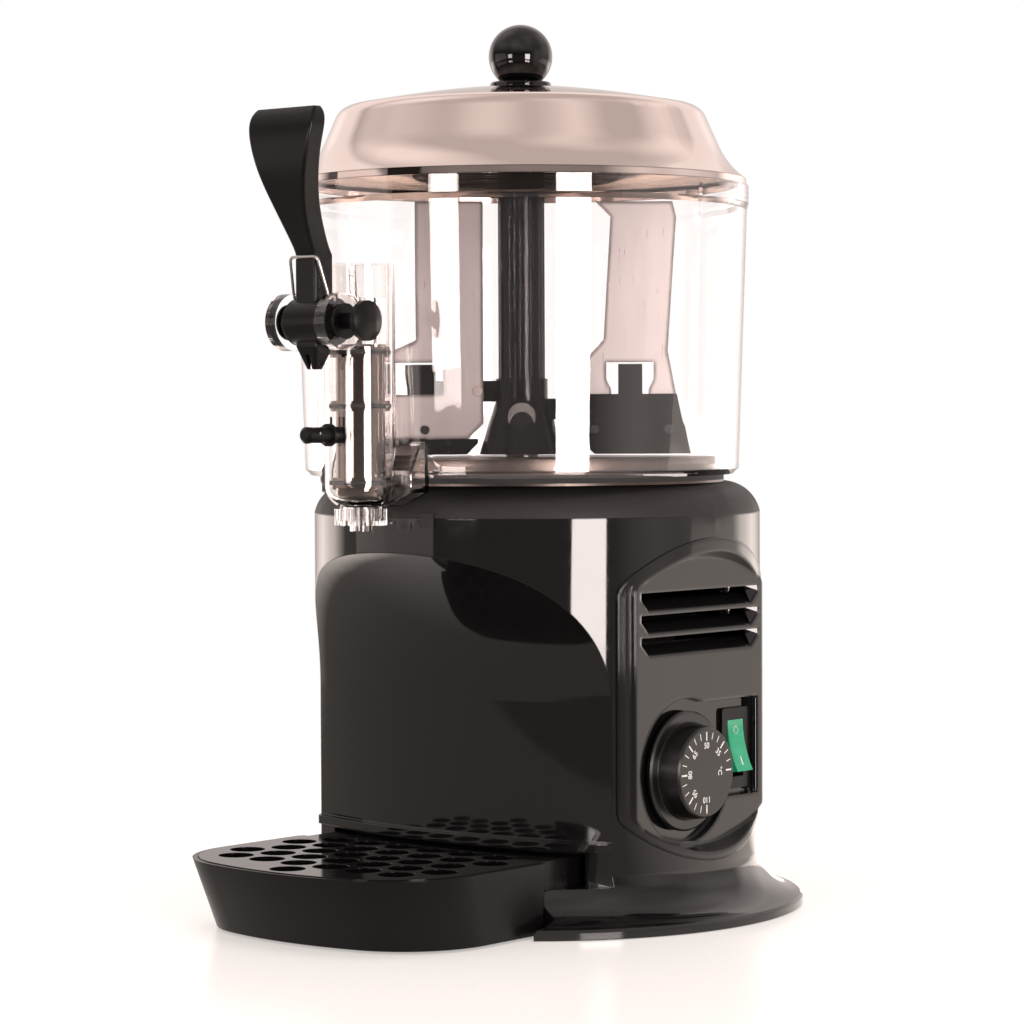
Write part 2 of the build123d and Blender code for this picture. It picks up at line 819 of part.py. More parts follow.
# Base plate: flat plate under the bosses, with holes for the screws and pockets for the pads
pad_points = on_circle(pad_circle, pad_angles)
with BuildPart() as base_plate:
    with BuildSketch(Plane.XY):
        Circle(base_radius)
        with Locations((0, bay_back_y + 2 * body_wall)):
            Rectangle(2 * flare_radius, flare_radius, align=(Align.CENTER, Align.MAX), mode=Mode.SUBTRACT)
    extrude(amount=base_thickness)
    with BuildSketch(Plane.XY):
        with Locations(*boss_points):
            Circle(base_screw_radius + slip)
        with Locations(*pad_points):
            Circle(pad_stem_radius + slip)
    extrude(amount=base_thickness, mode=Mode.SUBTRACT)
    with BuildSketch(Plane.XY):
        with Locations(*boss_points):
            Circle(base_screw_head_radius + slip)
        with Locations(*pad_points):
            Circle(pad_radius + slip)
    extrude(amount=pad_depth, mode=Mode.SUBTRACT)
base_plate.part.label = "base_plate"
export_step(base_plate.part, "parts/base_plate.step")

# Rubber pads: discs let into the base plate, each held by a stem with a barb on the inside
with BuildPart() as rubber_pads:
    with BuildSketch(Plane.XY):
        with Locations(*pad_points):
            Circle(pad_radius)
    extrude(amount=pad_depth)
    with BuildSketch(Plane.XY.offset(pad_depth)):
        with Locations(*pad_points):
            Circle(pad_stem_radius)
    extrude(amount=base_thickness - pad_depth)
    with BuildSketch(Plane.XY.offset(base_thickness)):
        with Locations(*pad_points):
            Circle(pad_barb_radius)
    extrude(amount=pad_depth)
rubber_pads.part.label = "rubber_pads"
export_step(rubber_pads.part, "parts/rubber_pads.step")

# Base screws: flat-headed screws from the plate into the bosses
with BuildPart() as base_screws:
    with BuildSketch(Plane.XY.offset(flare_edge / 2)):
        with Locations(*boss_points):
            Circle(base_screw_head_radius)
    extrude(amount=pad_depth - flare_edge / 2)
    with BuildSketch(Plane.XY.offset(pad_depth)):
        with Locations(*boss_points):
            Circle(base_screw_radius)
    extrude(amount=base_screw_length)
base_screws.part.label = "base_screws"
export_step(base_screws.part, "parts/base_screws.step")

# Collar ring: dark shoulder ring on the casing, with one small clip at the front
with BuildPart() as collar_ring:
    with BuildSketch(Plane.XZ):
        with BuildLine():
            Polyline((collar_top_radius, collar_top_z), (collar_inner_radius, collar_top_z),
                     (collar_inner_radius, body_top_z), (body_radius, body_top_z))
            TangentArc((collar_top_radius, collar_top_z), (body_radius, body_top_z), tangent=(1, 0))
        make_face()
    revolve(axis=body_axis)
    with BuildSketch(Plane.XY.offset(body_top_z).rotated((0, 0, clip_turn))):
        with Locations((0, -body_radius - clip_thick)):
            Rectangle(clip_width, 3 * clip_thick, align=(Align.CENTER, Align.MIN))
    extrude(amount=clip_top_z - body_top_z)
    with BuildSketch(Plane.XY.offset(clip_low_z).rotated((0, 0, clip_turn))):
        with Locations((0, -body_radius - clip_thick)):
            Rectangle(clip_width, clip_thick - slip, align=(Align.CENTER, Align.MIN))
    extrude(amount=body_top_z - clip_low_z)
collar_ring.part.label = "collar_ring"
export_step(collar_ring.part, "parts/collar_ring.step")

# Boiler dish: sheet floor of the bowl, turned down to a flange, with a hole for the standpipe
flange_top_z = collar_top_z + dish_sheet
with BuildPart() as boiler_dish:
    with BuildSketch(bowl_plane):
        with BuildLine():
            Polyline(
                (standpipe_radius + slip, dish_top_z - dish_sheet),
                (dish_radius - dish_sheet, dish_top_z - dish_sheet),
                (dish_radius - dish_sheet, flange_top_z), (dish_flange_inner, flange_top_z),
                (dish_flange_inner, collar_top_z), (dish_flange_radius, collar_top_z),
                (dish_flange_radius, flange_top_z), (dish_radius, flange_top_z), (dish_radius, dish_top_z),
                (standpipe_radius + slip, dish_top_z), close=True)
        make_face()
    revolve(axis=bowl_axis)
boiler_dish.part.label = "boiler_dish"
export_step(boiler_dish.part, "parts/boiler_dish.step")

# Standpipe: tube round the drive shaft, from the tank's bottom to the top of the stirrer's column
with BuildPart() as standpipe:
    with BuildSketch(Plane.XY.offset(tank_bottom_z)):
        with Locations((0, bowl_y)):
            Circle(standpipe_radius)
            Circle(standpipe_bore, mode=Mode.SUBTRACT)
    extrude(amount=standpipe_top_z - tank_bottom_z)
standpipe.part.label = "standpipe"
export_step(standpipe.part, "parts/standpipe.step")

# Bowl gasket: rubber ring between the dish's flange and the bowl
with BuildPart() as bowl_gasket:
    with BuildSketch(Plane.XY.offset(flange_top_z)):
        with Locations((0, bowl_y)):
            Circle(dish_flange_radius)
            Circle(dish_radius + slip, mode=Mode.SUBTRACT)
    extrude(amount=bowl_seat_z - flange_top_z)
bowl_gasket.part.label = "bowl_gasket"
export_step(bowl_gasket.part, "parts/bowl_gasket.step")

# Boiler tank: water bath under the dish, open to its underside
leg_angles = (90 - element_leg_turn, 90 + element_leg_turn)
leg_points = [(x, y + bowl_y) for x, y in on_circle(element_circle, leg_angles)]
with BuildPart() as boiler_tank:
    with BuildSketch(Plane.XY.offset(tank_bottom_z)):
        with Locations((0, bowl_y)):
            Circle(tank_radius)
    extrude(amount=dish_top_z - dish_sheet - tank_bottom_z)
    with BuildSketch(Plane.XY.offset(tank_bottom_z + tank_sheet)):
        with Locations((0, bowl_y)):
            Circle(tank_radius - tank_sheet)
    extrude(amount=dish_top_z - tank_bottom_z, mode=Mode.SUBTRACT)
    with BuildSketch(Plane.XY.offset(tank_bottom_z)):
        with Locations((0, bowl_y)):
            Circle(standpipe_radius + slip)
        with Locations(*leg_points):
            Circle(element_leg_radius + slip)
    extrude(amount=tank_sheet, mode=Mode.SUBTRACT)
boiler_tank.part.label = "boiler_tank"
export_step(boiler_tank.part, "parts/boiler_tank.step")

# Heating element: ring in the water bath with two legs through the tank's bottom
with BuildPart() as heating_element:
    with BuildSketch(bowl_plane):
        with Locations((element_circle, element_z)):
            Circle(element_radius)
    revolve(axis=bowl_axis)
    with BuildSketch(Plane.XY.offset(tank_bottom_z - element_leg_drop)):
        with Locations(*leg_points):
            Circle(element_leg_radius)
    extrude(amount=element_z - tank_bottom_z + element_leg_drop)
heating_element.part.label = "heating_element"
export_step(heating_element.part, "parts/heating_element.step")

# Shaft bushes: flanged bearings at both ends of the standpipe
with BuildPart() as shaft_bushes:
    for end_z, way in ((tank_bottom_z, -1), (standpipe_top_z, 1)):
        with BuildSketch(Plane.XY.offset(end_z)):
            with Locations((0, bowl_y)):
                Circle(bush_flange_radius)
                Circle(shaft_radius + slip, mode=Mode.SUBTRACT)
        extrude(amount=way * bush_flange)
        with BuildSketch(Plane.XY.offset(end_z)):
            with Locations((0, bowl_y)):
                Circle(standpipe_bore)
                Circle(shaft_radius + slip, mode=Mode.SUBTRACT)
        extrude(amount=-way * bush_length)
shaft_bushes.part.label = "shaft_bushes"
export_step(shaft_bushes.part, "parts/shaft_bushes.step")

# Motor bracket: plate that carries the gearbox, hung from the casing's top
post_points = [(x, y) for x in (-post_half_width, post_half_width) for y in (post_front_y, post_back_y)]
with BuildPart() as motor_bracket:
    with BuildSketch(Plane.XY.offset(bracket_top_z - bracket_sheet)):
        with Locations((0, (post_front_y + post_back_y) / 2)):
            RectangleRounded(2 * (post_half_width + bracket_margin),
                             post_back_y - post_front_y + 2 * bracket_margin, bracket_margin)
        with Locations((0, bowl_y)):
            Circle(bush_flange_radius + play, mode=Mode.SUBTRACT)
    extrude(amount=bracket_sheet)
motor_bracket.part.label = "motor_bracket"
export_step(motor_bracket.part, "parts/motor_bracket.step")

# Bracket posts: studs between the bracket and the underside of the casing's top
with BuildPart() as bracket_posts:
    with BuildSketch(Plane.XY.offset(bracket_top_z)):
        with Locations(*post_points):
            Circle(post_radius)
    extrude(amount=body_top_z - body_wall - bracket_top_z)
bracket_posts.part.label = "bracket_posts"
export_step(bracket_posts.part, "parts/bracket_posts.step")

# Gearbox: closed case under the bracket with a bore for the shaft
gearbox_top_z = bracket_top_z - bracket_sheet
gearbox_low_z = gearbox_top_z - gearbox_height
with BuildPart() as gearbox:
    with BuildSketch(Plane.XY.offset(gearbox_low_z)):
        with Locations((0, (gearbox_front_y + gearbox_back_y) / 2)):
            RectangleRounded(gearbox_width, gearbox_back_y - gearbox_front_y, gearbox_corner)
    extrude(amount=gearbox_height)
    with BuildSketch(Plane.XY.offset(shaft_low_z - play)):
        with Locations((0, bowl_y)):
            Circle(shaft_radius + slip)
    extrude(amount=gearbox_height, mode=Mode.SUBTRACT)
gearbox.part.label = "gearbox"
export_step(gearbox.part, "parts/gearbox.step")

# Motor: can with an end cap, hung under the gearbox
with BuildPart() as stirrer_motor:
    with BuildSketch(Plane.XY.offset(gearbox_low_z)):
        with Locations((0, motor_y)):
            Circle(motor_radius)
    extrude(amount=-motor_length)
    with BuildSketch(Plane.XY.offset(gearbox_low_z - motor_length)):
        with Locations((0, motor_y)):
            Circle(motor_cap_radius)
    extrude(amount=-motor_cap_height)
stirrer_motor.part.label = "stirrer_motor"
export_step(stirrer_motor.part, "parts/stirrer_motor.step")

# Cable gland: threaded sleeve through the casing's back with a flange outside and a nut inside
gland_plane = Plane(origin=(0, 0, gland_z), x_dir=(1, 0, 0), z_dir=(0, 1, 0))
with BuildPart() as cable_gland:
    with BuildSketch(gland_plane.offset(body_radius - body_wall)):
        Circle(gland_flange_radius)
    extrude(amount=gland_end_y - body_radius + body_wall)
    with BuildSketch(Plane.XY.offset(gland_z - gland_flange_radius)):
        Circle(body_radius)
    extrude(amount=2 * gland_flange_radius, mode=Mode.SUBTRACT)
    with BuildSketch(gland_plane.offset(gland_inner_y)):
        Circle(gland_radius)
    extrude(amount=gland_end_y - gland_inner_y)
    with BuildSketch(gland_plane.offset(gland_inner_y)):
        RegularPolygon(gland_nut_radius, 6)
    extrude(amount=gland_nut_thick)
    with BuildSketch(gland_plane.offset(gland_inner_y)):
        Circle(gland_bore)
    extrude(amount=gland_end_y - gland_inner_y, mode=Mode.SUBTRACT)
cable_gland.part.label = "cable_gland"
export_step(cable_gland.part, "parts/cable_gland.step")

# Control panel: flat face let into the casing's side, with an outer flange, vents and a recess
panel_block = panel_prism(
    panel_back_x, flare_radius, panel_half_width - panel_lip - play, panel_low_z + panel_lip + play,
    panel_high_z - panel_lip - play, panel_rise, panel_corner - panel_lip)
panel_rim = panel_prism(
    0, flare_radius, panel_half_width, panel_low_z, panel_high_z, panel_rise, panel_corner)
face_solid = panel_prism(
    panel_back_x, panel_face_x, face_half_width + face_edge, face_low_z - face_edge, face_high_z + face_edge,
    face_rise, face_corner)
face_cut = panel_prism(
    panel_face_x, panel_face_x + body_wall * face_flare, face_half_width, face_low_z, face_high_z,
    face_rise, face_corner, face_flare)
well_limit = panel_prism(
    recess_x, flare_radius, face_half_width - well_margin, face_low_z + well_margin, face_high_z, face_rise,
    face_corner)
with BuildPart() as face_block:
    add(face_solid)
    fillet(face_block.edges().group_by(Axis.X)[-1], face_edge)
    add(panel_block, mode=Mode.INTERSECT)
with BuildPart() as panel_plug:
    with BuildSketch(Plane.XY.offset(panel_low_z)):
        Circle(body_radius + panel_proud)
    extrude(amount=panel_high_z - panel_low_z)
    add(panel_block, mode=Mode.INTERSECT)
with BuildPart() as knob_well:
    with BuildSketch(dial_plane.offset(recess_x)):
        Circle(well_radius)
    extrude(amount=panel_face_x - recess_x)
    add(well_limit, mode=Mode.INTERSECT)
vent_tops = [vent_top_z - row * vent_pitch for row in range(vent_count)]
with BuildPart() as vent_wedge:
    for top in vent_tops:
        with BuildSketch(Plane.XZ):
            with BuildLine():
                Polyline((panel_back_x, top), (panel_face_x, top), (panel_face_x, top - vent_height),
                         (panel_back_x, top - vent_throat), close=True)
            make_face()
        extrude(amount=vent_half_width, both=True)
with BuildPart() as vent_cut:
    for top in vent_tops:
        low = top - vent_height
        with BuildSketch(Plane.YZ.offset(panel_back_x)):
            with BuildLine():
                Polyline(
                    (-vent_half_width, top), (-vent_half_width, low + vent_chamfer),
                    (-vent_half_width + vent_chamfer, low), (vent_half_width - vent_chamfer, low),
                    (vent_half_width, low + vent_chamfer), (vent_half_width, top), close=True)
            make_face()
        extrude(amount=panel_face_x - panel_back_x)
    add(vent_wedge.part, mode=Mode.INTERSECT)
with BuildPart() as control_panel:
    with BuildSketch(Plane.XY.offset(panel_low_z)):
        Circle(body_radius + panel_proud)
        Circle(body_radius, mode=Mode.SUBTRACT)
    extrude(amount=panel_high_z - panel_low_z)
    add(panel_rim, mode=Mode.INTERSECT)
    add(panel_plug.part)
    add(face_block.part)
    add(face_cut, mode=Mode.SUBTRACT)
    add(knob_well.part, mode=Mode.SUBTRACT)
    with BuildSketch(Plane.YZ.offset(recess_x)):
        with Locations((dial_y, recess_low_z)):
            Rectangle(recess_right_y - dial_y, recess_top_z - recess_low_z, align=(Align.MIN, Align.MIN))
    extrude(amount=panel_face_x - recess_x, mode=Mode.SUBTRACT)
    with BuildSketch(Plane.YZ.offset(panel_face_x - recess_step)):
        with Locations((recess_right_y, recess_low_z)):
            Rectangle(recess_step, recess_top_z - recess_low_z, align=(Align.MIN, Align.MIN))
    extrude(amount=recess_step, mode=Mode.SUBTRACT)
    add(vent_cut.part, mode=Mode.SUBTRACT)
    with BuildSketch(dial_plane.offset(panel_back_x)):
        Circle(sleeve_radius + slip)
    extrude(amount=recess_x - panel_back_x, mode=Mode.SUBTRACT)
    with BuildSketch(switch_plane.offset(panel_back_x)):
        Rectangle(switch_width + 2 * slip, switch_height + 2 * slip)
    extrude(amount=recess_x - panel_back_x, mode=Mode.SUBTRACT)
control_panel.part.label = "control_panel"
export_step(control_panel.part, "parts/control_panel.step")

# Thermostat: body behind the panel, clamped by a sleeve with a nut in front
with BuildPart() as thermostat_body:
    with BuildSketch(dial_plane.offset(stat_back_x)):
        RectangleRounded(stat_width, stat_height, bezel_corner)
    extrude(amount=panel_back_x - stat_back_x)
    with BuildSketch(dial_plane.offset(panel_back_x)):
        Circle(sleeve_radius)
    extrude(amount=recess_x - panel_back_x)
    with BuildSketch(dial_plane.offset(recess_x)):
        RegularPolygon(nut_radius, 6)
    extrude(amount=nut_height)
    with BuildSketch(dial_plane.offset(spindle_back_x - play)):
        Circle(spindle_radius + slip)
    extrude(amount=flare_radius - spindle_back_x, mode=Mode.SUBTRACT)
thermostat_body.part.label = "thermostat_body"
export_step(thermostat_body.part, "parts/thermostat_body.step")

# Thermostat spindle: round shaft that turns with the knob
with BuildPart() as thermostat_spindle:
    with BuildSketch(dial_plane.offset(spindle_back_x)):
        Circle(spindle_radius)
    extrude(amount=spindle_front_x - spindle_back_x)
thermostat_spindle.part.label = "thermostat_spindle"
export_step(thermostat_spindle.part, "parts/thermostat_spindle.step")

# Thermostat knob: dial skirt and a smooth tapered grip
with BuildPart() as thermostat_knob:
    with BuildSketch(dial_profile):
        with BuildLine():
            Polyline(
                (0, dial_back_x), (dial_skirt_radius, dial_back_x),
                (dial_skirt_radius, dial_skirt_x - dial_edge),
                (dial_skirt_radius - dial_edge, dial_skirt_x), (dial_grip_radius, dial_skirt_x),
                (dial_face_radius, dial_face_x - dial_edge), (dial_face_radius - dial_edge, dial_face_x),
                (0, dial_face_x), close=True)
        make_face()
    revolve(axis=dial_axis)
    with BuildSketch(dial_plane.offset(dial_back_x)):
        Circle(spindle_radius)
    extrude(amount=spindle_front_x - dial_back_x, mode=Mode.SUBTRACT)
thermostat_knob.part.label = "thermostat_knob"
export_step(thermostat_knob.part, "parts/thermostat_knob.step")

# Switch body: bezel on the recess floor and a case through the panel, with a well for the rocker
with BuildPart() as switch_body:
    with BuildSketch(switch_plane.offset(recess_x)):
        RectangleRounded(bezel_width, bezel_height, bezel_corner)
    extrude(amount=bezel_thick)
    with BuildSketch(switch_plane.offset(switch_back_x)):
        Rectangle(switch_width, switch_height)
    extrude(amount=recess_x - switch_back_x)
    with BuildSketch(switch_plane.offset(switch_well_x)):
        Rectangle(rocker_width + 2 * play, rocker_height + 2 * rocker_room)
    extrude(amount=panel_face_x - switch_well_x, mode=Mode.SUBTRACT)
    with BuildSketch(Plane.XZ.offset(-switch_y)):
        with Locations((rocker_axis_x, switch_z)):
            Circle(rocker_pin_radius + slip)
    extrude(amount=rocker_pin_half + slip, both=True, mode=Mode.SUBTRACT)
switch_body.part.label = "switch_body"
export_step(switch_body.part, "parts/switch_body.step")

# Switch rocker: dished key on a cross pin, tilted with its lower end out
rocker_plane = Plane(
    origin=(rocker_axis_x, switch_y, switch_z),
    x_dir=(cos(radians(rocker_tilt)), 0, sin(radians(rocker_tilt))), z_dir=(0, -1, 0))
rocker_half = rocker_height / 2
with BuildPart() as switch_rocker:
    with BuildSketch(rocker_plane):
        with BuildLine():
            Polyline((rocker_front, rocker_half), (-rocker_depth, rocker_half - rocker_dip),
                     (-rocker_depth, -rocker_half + rocker_dip), (rocker_front, -rocker_half))
            ThreePointArc((rocker_front, -rocker_half), (rocker_front - rocker_dip, 0),
                          (rocker_front, rocker_half))
        make_face()
    extrude(amount=rocker_width / 2, both=True)
    with BuildSketch(rocker_plane):
        Circle(rocker_pin_radius)
    extrude(amount=rocker_pin_half, both=True)
switch_rocker.part.label = "switch_rocker"
export_step(switch_rocker.part, "parts/switch_rocker.step")

# Bowl: clear drum with a thick grooved rim, a floor lip, and an opening for the tap and its sump
bowl_space = turned(
    bowl_plane, bowl_axis, (0, bowl_floor_z), (bowl_foot_radius - bowl_wall, bowl_floor_z),
    (bowl_bore_radius, bowl_band_z), (0, bowl_band_z))
sump_hole = sump_block(-slip)
with BuildPart() as bowl:
    with BuildSketch(bowl_plane):
        with BuildLine():
            Polyline(
                (bowl_skirt_radius, bowl_skirt_z), (bowl_foot_radius - bowl_foot_round, bowl_skirt_z),
                (bowl_foot_radius, bowl_skirt_z + bowl_foot_round),
                (bowl_neck_radius, bowl_band_z - upstand), (bowl_band_radius, bowl_band_z),
                (bowl_band_radius, bowl_top_z), (upstand_radius, bowl_top_z),
                (upstand_radius, bowl_top_z + upstand), (bowl_bore_radius, bowl_top_z + upstand),
                (bowl_bore_radius, bowl_band_z), (bowl_foot_radius - bowl_wall, bowl_floor_z),
                (bowl_hole_radius, bowl_floor_z), (bowl_hole_radius, bowl_seat_z),
                (bowl_skirt_radius, bowl_seat_z), close=True)
        make_face()
    revolve(axis=bowl_axis)
    with BuildSketch(bowl_plane):
        for row in range(groove_count):
            with Locations((bowl_band_radius, bowl_band_z + (row + 0.8) * groove_pitch)):
                Rectangle(2 * groove_depth, groove_width)
    revolve(axis=bowl_axis, mode=Mode.SUBTRACT)
    add(sump_hole, mode=Mode.SUBTRACT)
    with BuildSketch(Plane.XY.offset(bowl_skirt_z)):
        with Locations((0, tap_y)):
            Circle(tap_radius + slip)
    extrude(amount=tap_top_z + slip - bowl_skirt_z, mode=Mode.SUBTRACT)
bowl.part.label = "bowl"
export_step(bowl.part, "parts/bowl.step")

# Tap housing: upright tube with two ears, on a sump that is open to the bowl
sump_outside = sump_block(0)
sump_inside = sump_block(sump_wall)
with BuildPart() as tap_housing:
    add(sump_outside)
    add(bowl_space, mode=Mode.SUBTRACT)
    add(sump_inside, mode=Mode.SUBTRACT)
    with BuildSketch(tap_plane):
        with BuildLine():
            Polyline((tap_neck_radius, tap_bottom_z), (tap_neck_radius, tap_neck_z), (0, tap_neck_z),
                     (0, tap_top_z), (tap_radius, tap_top_z), (tap_radius, tap_shoulder_z))
            TangentArc((tap_radius, tap_shoulder_z), (tap_neck_radius, tap_bottom_z), tangent=(0, -1))
        make_face()
    revolve(axis=tap_axis)
    for side in (-1, 1):
        with BuildSketch(pivot_plane.offset(side * ear_inner_x)):
            Rectangle(tap_y - pivot_y, 2 * ear_web_half_height, align=(Align.MIN, Align.CENTER))
            Circle(ear_radius)
        extrude(amount=side * (ear_web_x - ear_inner_x))
        with BuildSketch(pivot_plane.offset(side * ear_inner_x)):
            Circle(ear_radius)
        extrude(amount=side * (ear_outer_x - ear_inner_x))
        with BuildSketch(pivot_plane.offset(side * ear_inner_x)):
            Circle(ear_hole_radius)
        extrude(amount=side * (ear_outer_x - ear_inner_x), mode=Mode.SUBTRACT)
    with BuildSketch(tap_plane):
        with BuildLine():
            Polyline((tap_bore, tap_shoulder_z), (tap_bore, tap_top_z), (0, tap_top_z), (0, tap_neck_z),
                     (outlet_radius, tap_neck_z), (outlet_radius, tap_floor_z),
                     (tap_floor_radius, tap_floor_z))
            TangentArc((tap_bore, tap_shoulder_z), (tap_floor_radius, tap_floor_z), tangent=(0, -1))
        make_face()
    revolve(axis=tap_axis, mode=Mode.SUBTRACT)
    with BuildSketch(Plane.XY.offset(port_low_z)):
        with Locations((0, port_front_y)):
            Rectangle(2 * port_half_width, port_back_y - port_front_y, align=(Align.CENTER, Align.MIN))
    extrude(amount=port_high_z - port_low_z, mode=Mode.SUBTRACT)
    with BuildSketch(Plane.XZ.offset(-tap_y)):
        with Locations((0, bar_z - bar_radius - play)):
            Rectangle(2 * (bar_radius + play), 2 * (bar_radius + play) + piston_stroke,
                      align=(Align.CENTER, Align.MIN))
    extrude(amount=2 * tap_radius, mode=Mode.SUBTRACT)
tap_housing.part.label = "tap_housing"
export_step(tap_housing.part, "parts/tap_housing.step")

# Nozzle cap: ribbed ring on the tap's neck with a small tip
with BuildPart() as nozzle_cap:
    with BuildSketch(tap_plane):
        with BuildLine():
            Polyline(
                (nozzle_bore, tap_neck_z), (nozzle_bore, nozzle_tip_z), (nozzle_tip_radius, nozzle_tip_z),
                (nozzle_tip_radius, nozzle_low_z), (nozzle_radius, nozzle_low_z),
                (nozzle_radius, nozzle_top_z),
                (tap_neck_radius + slip, nozzle_top_z), (tap_neck_radius + slip, tap_neck_z), close=True)
        make_face()
    revolve(axis=tap_axis)
    with BuildSketch(Plane.XY.offset(nozzle_low_z)):
        with Locations((0, tap_y)):
            with PolarLocations(nozzle_radius - nozzle_rib / 4, nozzle_rib_count):
                Circle(nozzle_rib)
    extrude(amount=nozzle_top_z - nozzle_low_z)
nozzle_cap.part.label = "nozzle_cap"
export_step(nozzle_cap.part, "parts/nozzle_cap.step")

# Ear bushes: black bearings in both ears
with BuildPart() as ear_bushes:
    for side in (-1, 1):
        with BuildSketch(pivot_plane.offset(side * ear_inner_x)):
            Circle(ear_hole_radius)
            Circle(pin_radius + slip, mode=Mode.SUBTRACT)
        extrude(amount=side * (ear_outer_x - ear_inner_x))
        with BuildSketch(pivot_plane.offset(side * ear_outer_x)):
            Circle(bush_collar_radius)
            Circle(pin_radius + slip, mode=Mode.SUBTRACT)
        extrude(amount=side * bush_collar)
ear_bushes.part.label = "ear_bushes"
export_step(ear_bushes.part, "parts/ear_bushes.step")

# Pivot pin: round bar through both bushes and the lever
with BuildPart() as pivot_pin:
    with BuildSketch(pivot_plane.offset(pin_end_x)):
        Circle(pin_radius)
    extrude(amount=pin_neck_x - pin_end_x)
pivot_pin.part.label = "pivot_pin"
export_step(pivot_pin.part, "parts/pivot_pin.step")

# Pin knob: neck and domed disc that pull the pin out
disc_rim_x = pin_disc_x + pin_disc_edge
with BuildPart() as pin_knob:
    with BuildSketch(pivot_profile):
        with BuildLine():
            Polyline((0, disc_rim_x + pin_dome), (0, pin_neck_x), (pin_neck_radius, pin_neck_x),
                     (pin_neck_radius, pin_disc_x), (pin_disc_radius, pin_disc_x),
                     (pin_disc_radius, disc_rim_x))
            TangentArc((0, disc_rim_x + pin_dome), (pin_disc_radius, disc_rim_x), tangent=(1, 0))
        make_face()
    revolve(axis=pivot_axis)
pin_knob.part.label = "pin_knob"
export_step(pin_knob.part, "parts/pin_knob.step")

# Tap lever: hub, square stem, leaning paddle and forked tail
with BuildPart() as paddle:
    for step in range(paddle_steps + 2):
        way_up = min(step / paddle_steps * paddle_shoulder, 1.0)
        spread = 3 * way_up**2 - 2 * way_up**3
        half_width = stem_half_width + (paddle_half_width - stem_half_width) * spread
        half_depth = stem_half_depth + (paddle_half_depth - stem_half_depth) * spread
        lean = paddle_lean * sin(paddle_swing * pi / 2 * way_up)
        centre_y = pivot_y - stem_half_depth - lean + half_depth
        if way_up == 1.0:
            half_width -= paddle_half_depth / 2
            half_depth /= 2
        with BuildSketch(Plane.XY.offset(paddle_start_z + way_up * (paddle_top_z - paddle_start_z))):
            with Locations((0, centre_y)):
                RectangleRounded(2 * half_width, 2 * half_depth, stem_corner)
    loft()
with BuildPart() as tail:
    for z, half_width, half_depth in (
        (stem_low_z, stem_half_width, stem_half_depth),
        (tail_tip_z, tail_half_width, tail_half_depth),
    ):
        with BuildSketch(Plane.XY.offset(z)):
            with Locations((0, pivot_y)):
                RectangleRounded(2 * half_width, 2 * half_depth, stem_corner)
    loft(ruled=True)
hub_half_width = bail_leg_x - eye_half_thick
with BuildPart() as tap_lever:
    with BuildSketch(pivot_plane):
        Circle(hub_radius)
    extrude(amount=hub_half_width, both=True)
    with BuildSketch(Plane.XY.offset(stem_low_z)):
        with Locations((0, pivot_y)):
            RectangleRounded(2 * stem_half_width, 2 * stem_half_depth, stem_corner)
    extrude(amount=paddle_start_z - stem_low_z)
    add(paddle.part)
    add(tail.part)
    with BuildSketch(pivot_plane):
        Circle(pin_radius + slip)
        with Locations((0, tail_pin_z - pivot_z)):
            Circle(link_pin_radius)
    extrude(amount=hub_half_width, both=True, mode=Mode.SUBTRACT)
    with BuildSketch(Plane.XY.offset(tail_tip_z)):
        with Locations((0, pivot_y)):
            Rectangle(link_slot, 4 * stem_half_depth)
    extrude(amount=2 * (tail_pin_z - tail_tip_z) + link_half_gap, mode=Mode.SUBTRACT)
tap_lever.part.label = "tap_lever"
export_step(tap_lever.part, "parts/tap_lever.step")

# Tail pin: cross pin in the lever's tail that the link wire hangs on
with BuildPart() as tail_pin:
    with BuildSketch(Plane.YZ):
        with Locations((pivot_y, tail_pin_z)):
            Circle(link_pin_radius)
    extrude(amount=tail_half_width, both=True)
tail_pin.part.label = "tail_pin"
export_step(tail_pin.part, "parts/tail_pin.step")

# Lever washers: thin discs beside the bail's eyes
eye_outer_x = bail_leg_x + eye_half_thick
with BuildPart() as lever_washers:
    for side in (-1, 1):
        with BuildSketch(pivot_plane.offset(side * eye_outer_x)):
            Circle(washer_radius)
            Circle(pin_radius + slip, mode=Mode.SUBTRACT)
        extrude(amount=side * (ear_inner_x - washer_gap - eye_outer_x))
lever_washers.part.label = "lever_washers"
export_step(lever_washers.part, "parts/lever_washers.step")

# Lever bail: bent wire with two flat eyes round the pin and a bar across the lever's neck
bail_front = stem_half_depth + bail_wire
bail_foot = (eye_bore + eye_radius) / 2
bail_rise = bail_z - pivot_z - bail_foot
bail_length = sqrt(bail_rise**2 + bail_front**2)
bail_plane = Plane(
    origin=(0, pivot_y, pivot_z + bail_foot), x_dir=(1, 0, 0), z_dir=(0, -bail_rise, -bail_front))
with BuildLine(bail_plane) as bail_path:
    FilletPolyline((bail_leg_x, 0), (bail_leg_x, bail_straight), (bail_half_width, bail_length),
                   (-bail_half_width, bail_length), (-bail_leg_x, bail_straight), (-bail_leg_x, 0),
                   radius=bail_bend)
with BuildPart() as lever_bail:
    with BuildSketch(Plane(origin=bail_path.line @ 0, z_dir=bail_path.line % 0)):
        Circle(bail_wire)
    sweep(path=bail_path.line)
    for side in (-1, 1):
        with BuildSketch(pivot_plane.offset(side * hub_half_width)):
            Circle(eye_radius)
            Circle(eye_bore, mode=Mode.SUBTRACT)
        extrude(amount=side * 2 * eye_half_thick)
lever_bail.part.label = "lever_bail"
export_step(lever_bail.part, "parts/lever_bail.step")

